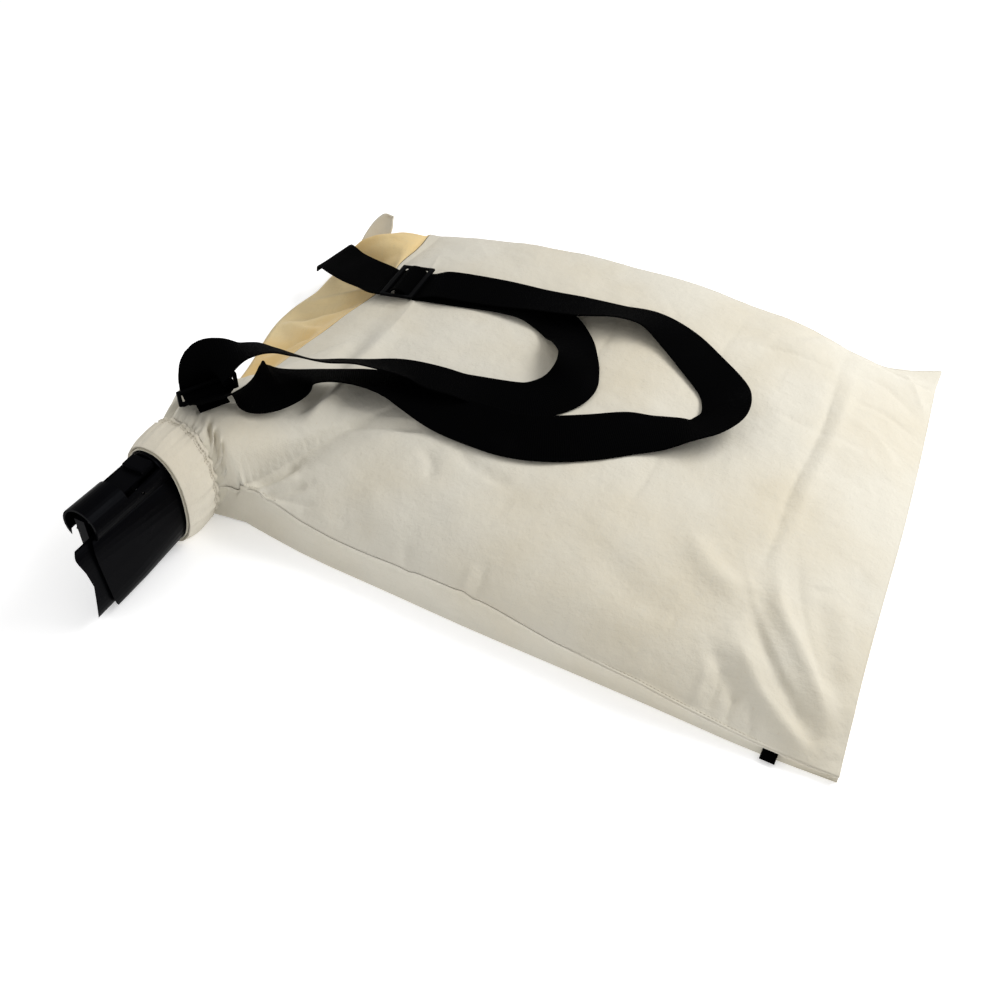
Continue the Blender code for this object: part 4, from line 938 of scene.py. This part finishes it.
def build_cuff():
    """The neck's gathered hem: a puffed band from the gathering line to the rolled mouth."""
    turns, rows = 360, 40
    rolls_at = 0.86
    angle = np.linspace(0, 2 * math.pi, turns, endpoint=False)
    points, uv = [], []
    for row in range(rows + 1):
        t = row / rows
        if t < rolls_at:
            s = t / rolls_at
            y = GATHER_Y - 0.0010 + (NECK_MOUTH_Y + 0.0010 - GATHER_Y) * s
            puff = 0.0017 + 0.0042 * math.sin(math.pi * min(1.0, s * 0.92 + 0.06))**0.8
        else:
            s = (t - rolls_at) / 0.14
            y = NECK_MOUTH_Y + 0.0010 - 0.0014 * math.sin(math.pi * s) + 0.004 * s
            puff = 0.0024 - 0.0026 * s
        gather = np.exp(-t / 0.42)
        wave = (np.sin(21 * angle + 2.2 * np.sin(3 * angle)) * 0.0015
                + np.sin(37 * angle + 1.7 * np.sin(5 * angle)) * 0.0007)
        broad = 0.0012 * np.sin(5 * angle + 1.0) * math.sin(math.pi * min(1.0, t / rolls_at))
        stitch = -0.0016 * math.exp(-((t - 0.10) / 0.022)**2)
        x, z = ring_points(angle, puff + stitch)
        radial = unit(np.column_stack([x - NECK_X, z - (NECK_LOW + NECK_HIGH) / 2]))
        lift = wave * gather * min(1.0, puff / 0.003) + broad
        lift = np.maximum(lift, 0.0004 - puff)
        points.append(np.column_stack([x + radial[:, 0] * lift, np.full(turns, y),
                                       np.maximum(z + radial[:, 1] * lift, 0.0010)]))
        uv.append(np.column_stack([angle * 0.075, np.full(turns, y)]))
    points = np.vstack(points)
    made = piece("neck_cuff", points, tube_faces(turns, rows), CREAM_CUFF, np.vstack(uv),
                 ["neck_cuff_hem"], thickness=0.0011, side=-1.0)
    for index, t in enumerate((0.085, 0.150)):
        row = points[round(t * rows) * turns:(round(t * rows) + 1) * turns]
        row = np.vstack([row, row[:1]])
        out = unit(row - np.array((NECK_X, row[0, 1], (NECK_LOW + NECK_HIGH) / 2)))
        build_stitches(f"cuff_stitches_{index + 1}", row + out * 0.0003, out)


def build_tab():
    """Leaf-shaped hanging loop at the far front corner, a doubled strip of canvas."""
    columns, rows = 30, 14
    start, end = np.array((-0.126, 0.442, 0.023)), np.array((-0.105, 0.475, 0.054))
    across = np.array((0.66, -0.42, -0.62))
    points, uv = [], []
    for row in range(rows + 1):
        v = row / rows - 0.5
        for column in range(columns + 1):
            u = column / columns
            width = 0.012 + 0.018 * math.sin(math.pi * min(1.0, 0.12 + 0.80 * u))**0.8
            width *= math.sqrt(max(0.02, 1 - (max(0.0, u - 0.80) / 0.205)**2))
            curl = 0.003 * math.sin(math.pi * u) + 0.0020 * math.cos(6.0 * v)
            points.append(start + (end - start) * u + across * v * width + (0, curl, 0))
            uv.append((0.064 * u, v * width))
    made = piece("hang_tab", np.array(points), grid_faces(columns, rows), CREAM, np.array(uv),
                 ["corner_hang_tab"], thickness=2 * CANVAS, side=0.0)


# CAD nodes that are shown as they are, with their looks and the width of their edge rounding
SHOWN = [
    ("adapter_duct", MOULDED, 0.0007), ("inner_spigot", MOULDED, 0.0005),
    ("latch_lever", MOULDED, 0.0005), ("latch_pin", NICKEL, 0.0), ("tri_glide", NYLON, 0.0006),
    ("strap_ring", NYLON, 0.0), ("ring_tab", TAB_WEBBING, 0.0),
    ("seam_label_tab", TAB_WEBBING, 0.0), ("zipper_coil_upper", TAPE, 0.0),
    ("zipper_coil_lower", TAPE, 0.0), ("zipper_tape_upper", TAPE, 0.0),
    ("zipper_tape_lower", TAPE, 0.0), ("zipper_stop_near", NICKEL, 0.0),
    ("zipper_stop_far", NICKEL, 0.0), ("zipper_slider", NICKEL, 0.0003),
    ("zipper_pull", NICKEL, 0.0003), ("neck_elastic", ELASTIC, 0.0),
    ("neck_sleeve", CREAM_PANEL, 0.0), ("bag_bottom_panel", CREAM_PANEL, 0.0),
    ("end_panel_lower", CREAM_PANEL, 0.0),
]


def dress_nodes():
    """Looks and rounded edges for the parts that come straight from the CAD model."""
    for name, skin, rounding in SHOWN:
        node = bpy.data.objects[name]
        node.data.materials.clear()
        node.data.materials.append(skin)
        if rounding:
            bevel = node.modifiers.new("edge_rounding", "BEVEL")
            bevel.width = rounding
            bevel.segments = 2
            bevel.limit_method = "ANGLE"
            bevel.angle_limit = ROUNDED_ABOVE


# ---------------------------------------------------------------- floor, light and camera
def build_stage():
    mesh = bpy.data.meshes.new("floor")
    corners = [(x * FLOOR_REACH, y * FLOOR_REACH, FLOOR_LEVEL)
               for x, y in ((-1, -1), (1, -1), (1, 1), (-1, 1))]
    mesh.from_pydata(corners, [], [(0, 1, 2, 3)])
    mesh.materials.append(floor_skin())
    floor = bpy.data.objects.new("floor", mesh)
    bpy.context.scene.collection.objects.link(floor)


def area_light(name, place, target, size, power):
    data = bpy.data.lights.new(name, "AREA")
    data.shape = "SQUARE"
    data.size = size
    data.energy = power
    lamp = bpy.data.objects.new(name, data)
    lamp.location = place
    lamp.rotation_euler = (Vector(target) - Vector(place)).to_track_quat("-Z", "Y").to_euler()
    bpy.context.scene.collection.objects.link(lamp)


def build_light():
    world = bpy.data.worlds.new("studio")
    world.use_nodes = True
    background = world.node_tree.nodes["Background"]
    background.inputs["Color"].default_value = (1.0, 1.0, 1.0, 1)
    background.inputs["Strength"].default_value = 0.58
    bpy.context.scene.world = world
    area_light("key", (0.9, 1.3, 1.5), (0.1, 0, 0), 0.9, 22)
    area_light("side", (0.75, 0.35, 0.75), (0.25, 0, 0), 0.5, 3.6)
    area_light("fill", (-0.75, -1.05, 0.55), (-0.05, -0.1, 0.05), 0.8, 2.7)
    bpy.context.scene.view_settings.view_transform = "Standard"


def build_camera():
    data = bpy.data.cameras.new("camera")
    data.lens = 45.0
    data.sensor_width = 36.0
    camera = bpy.data.objects.new("camera", data)
    camera.location = Vector((0.6450, -0.6304, 0.8927)) + Vector(SHIFT)
    camera.rotation_euler = (math.radians(45.0), 0.0, math.radians(28.5))
    bpy.context.scene.collection.objects.link(camera)
    bpy.context.scene.camera = camera


build_strap()
NEAR_LINE, FRONT_LINE, FAR_LINE, END_LINE = build_top(strap_surface())
build_gussets(NEAR_LINE, FRONT_LINE, FAR_LINE)
build_end(END_LINE)
build_cuff()
build_tab()
dress_nodes()
build_stage()
build_light()
build_camera()
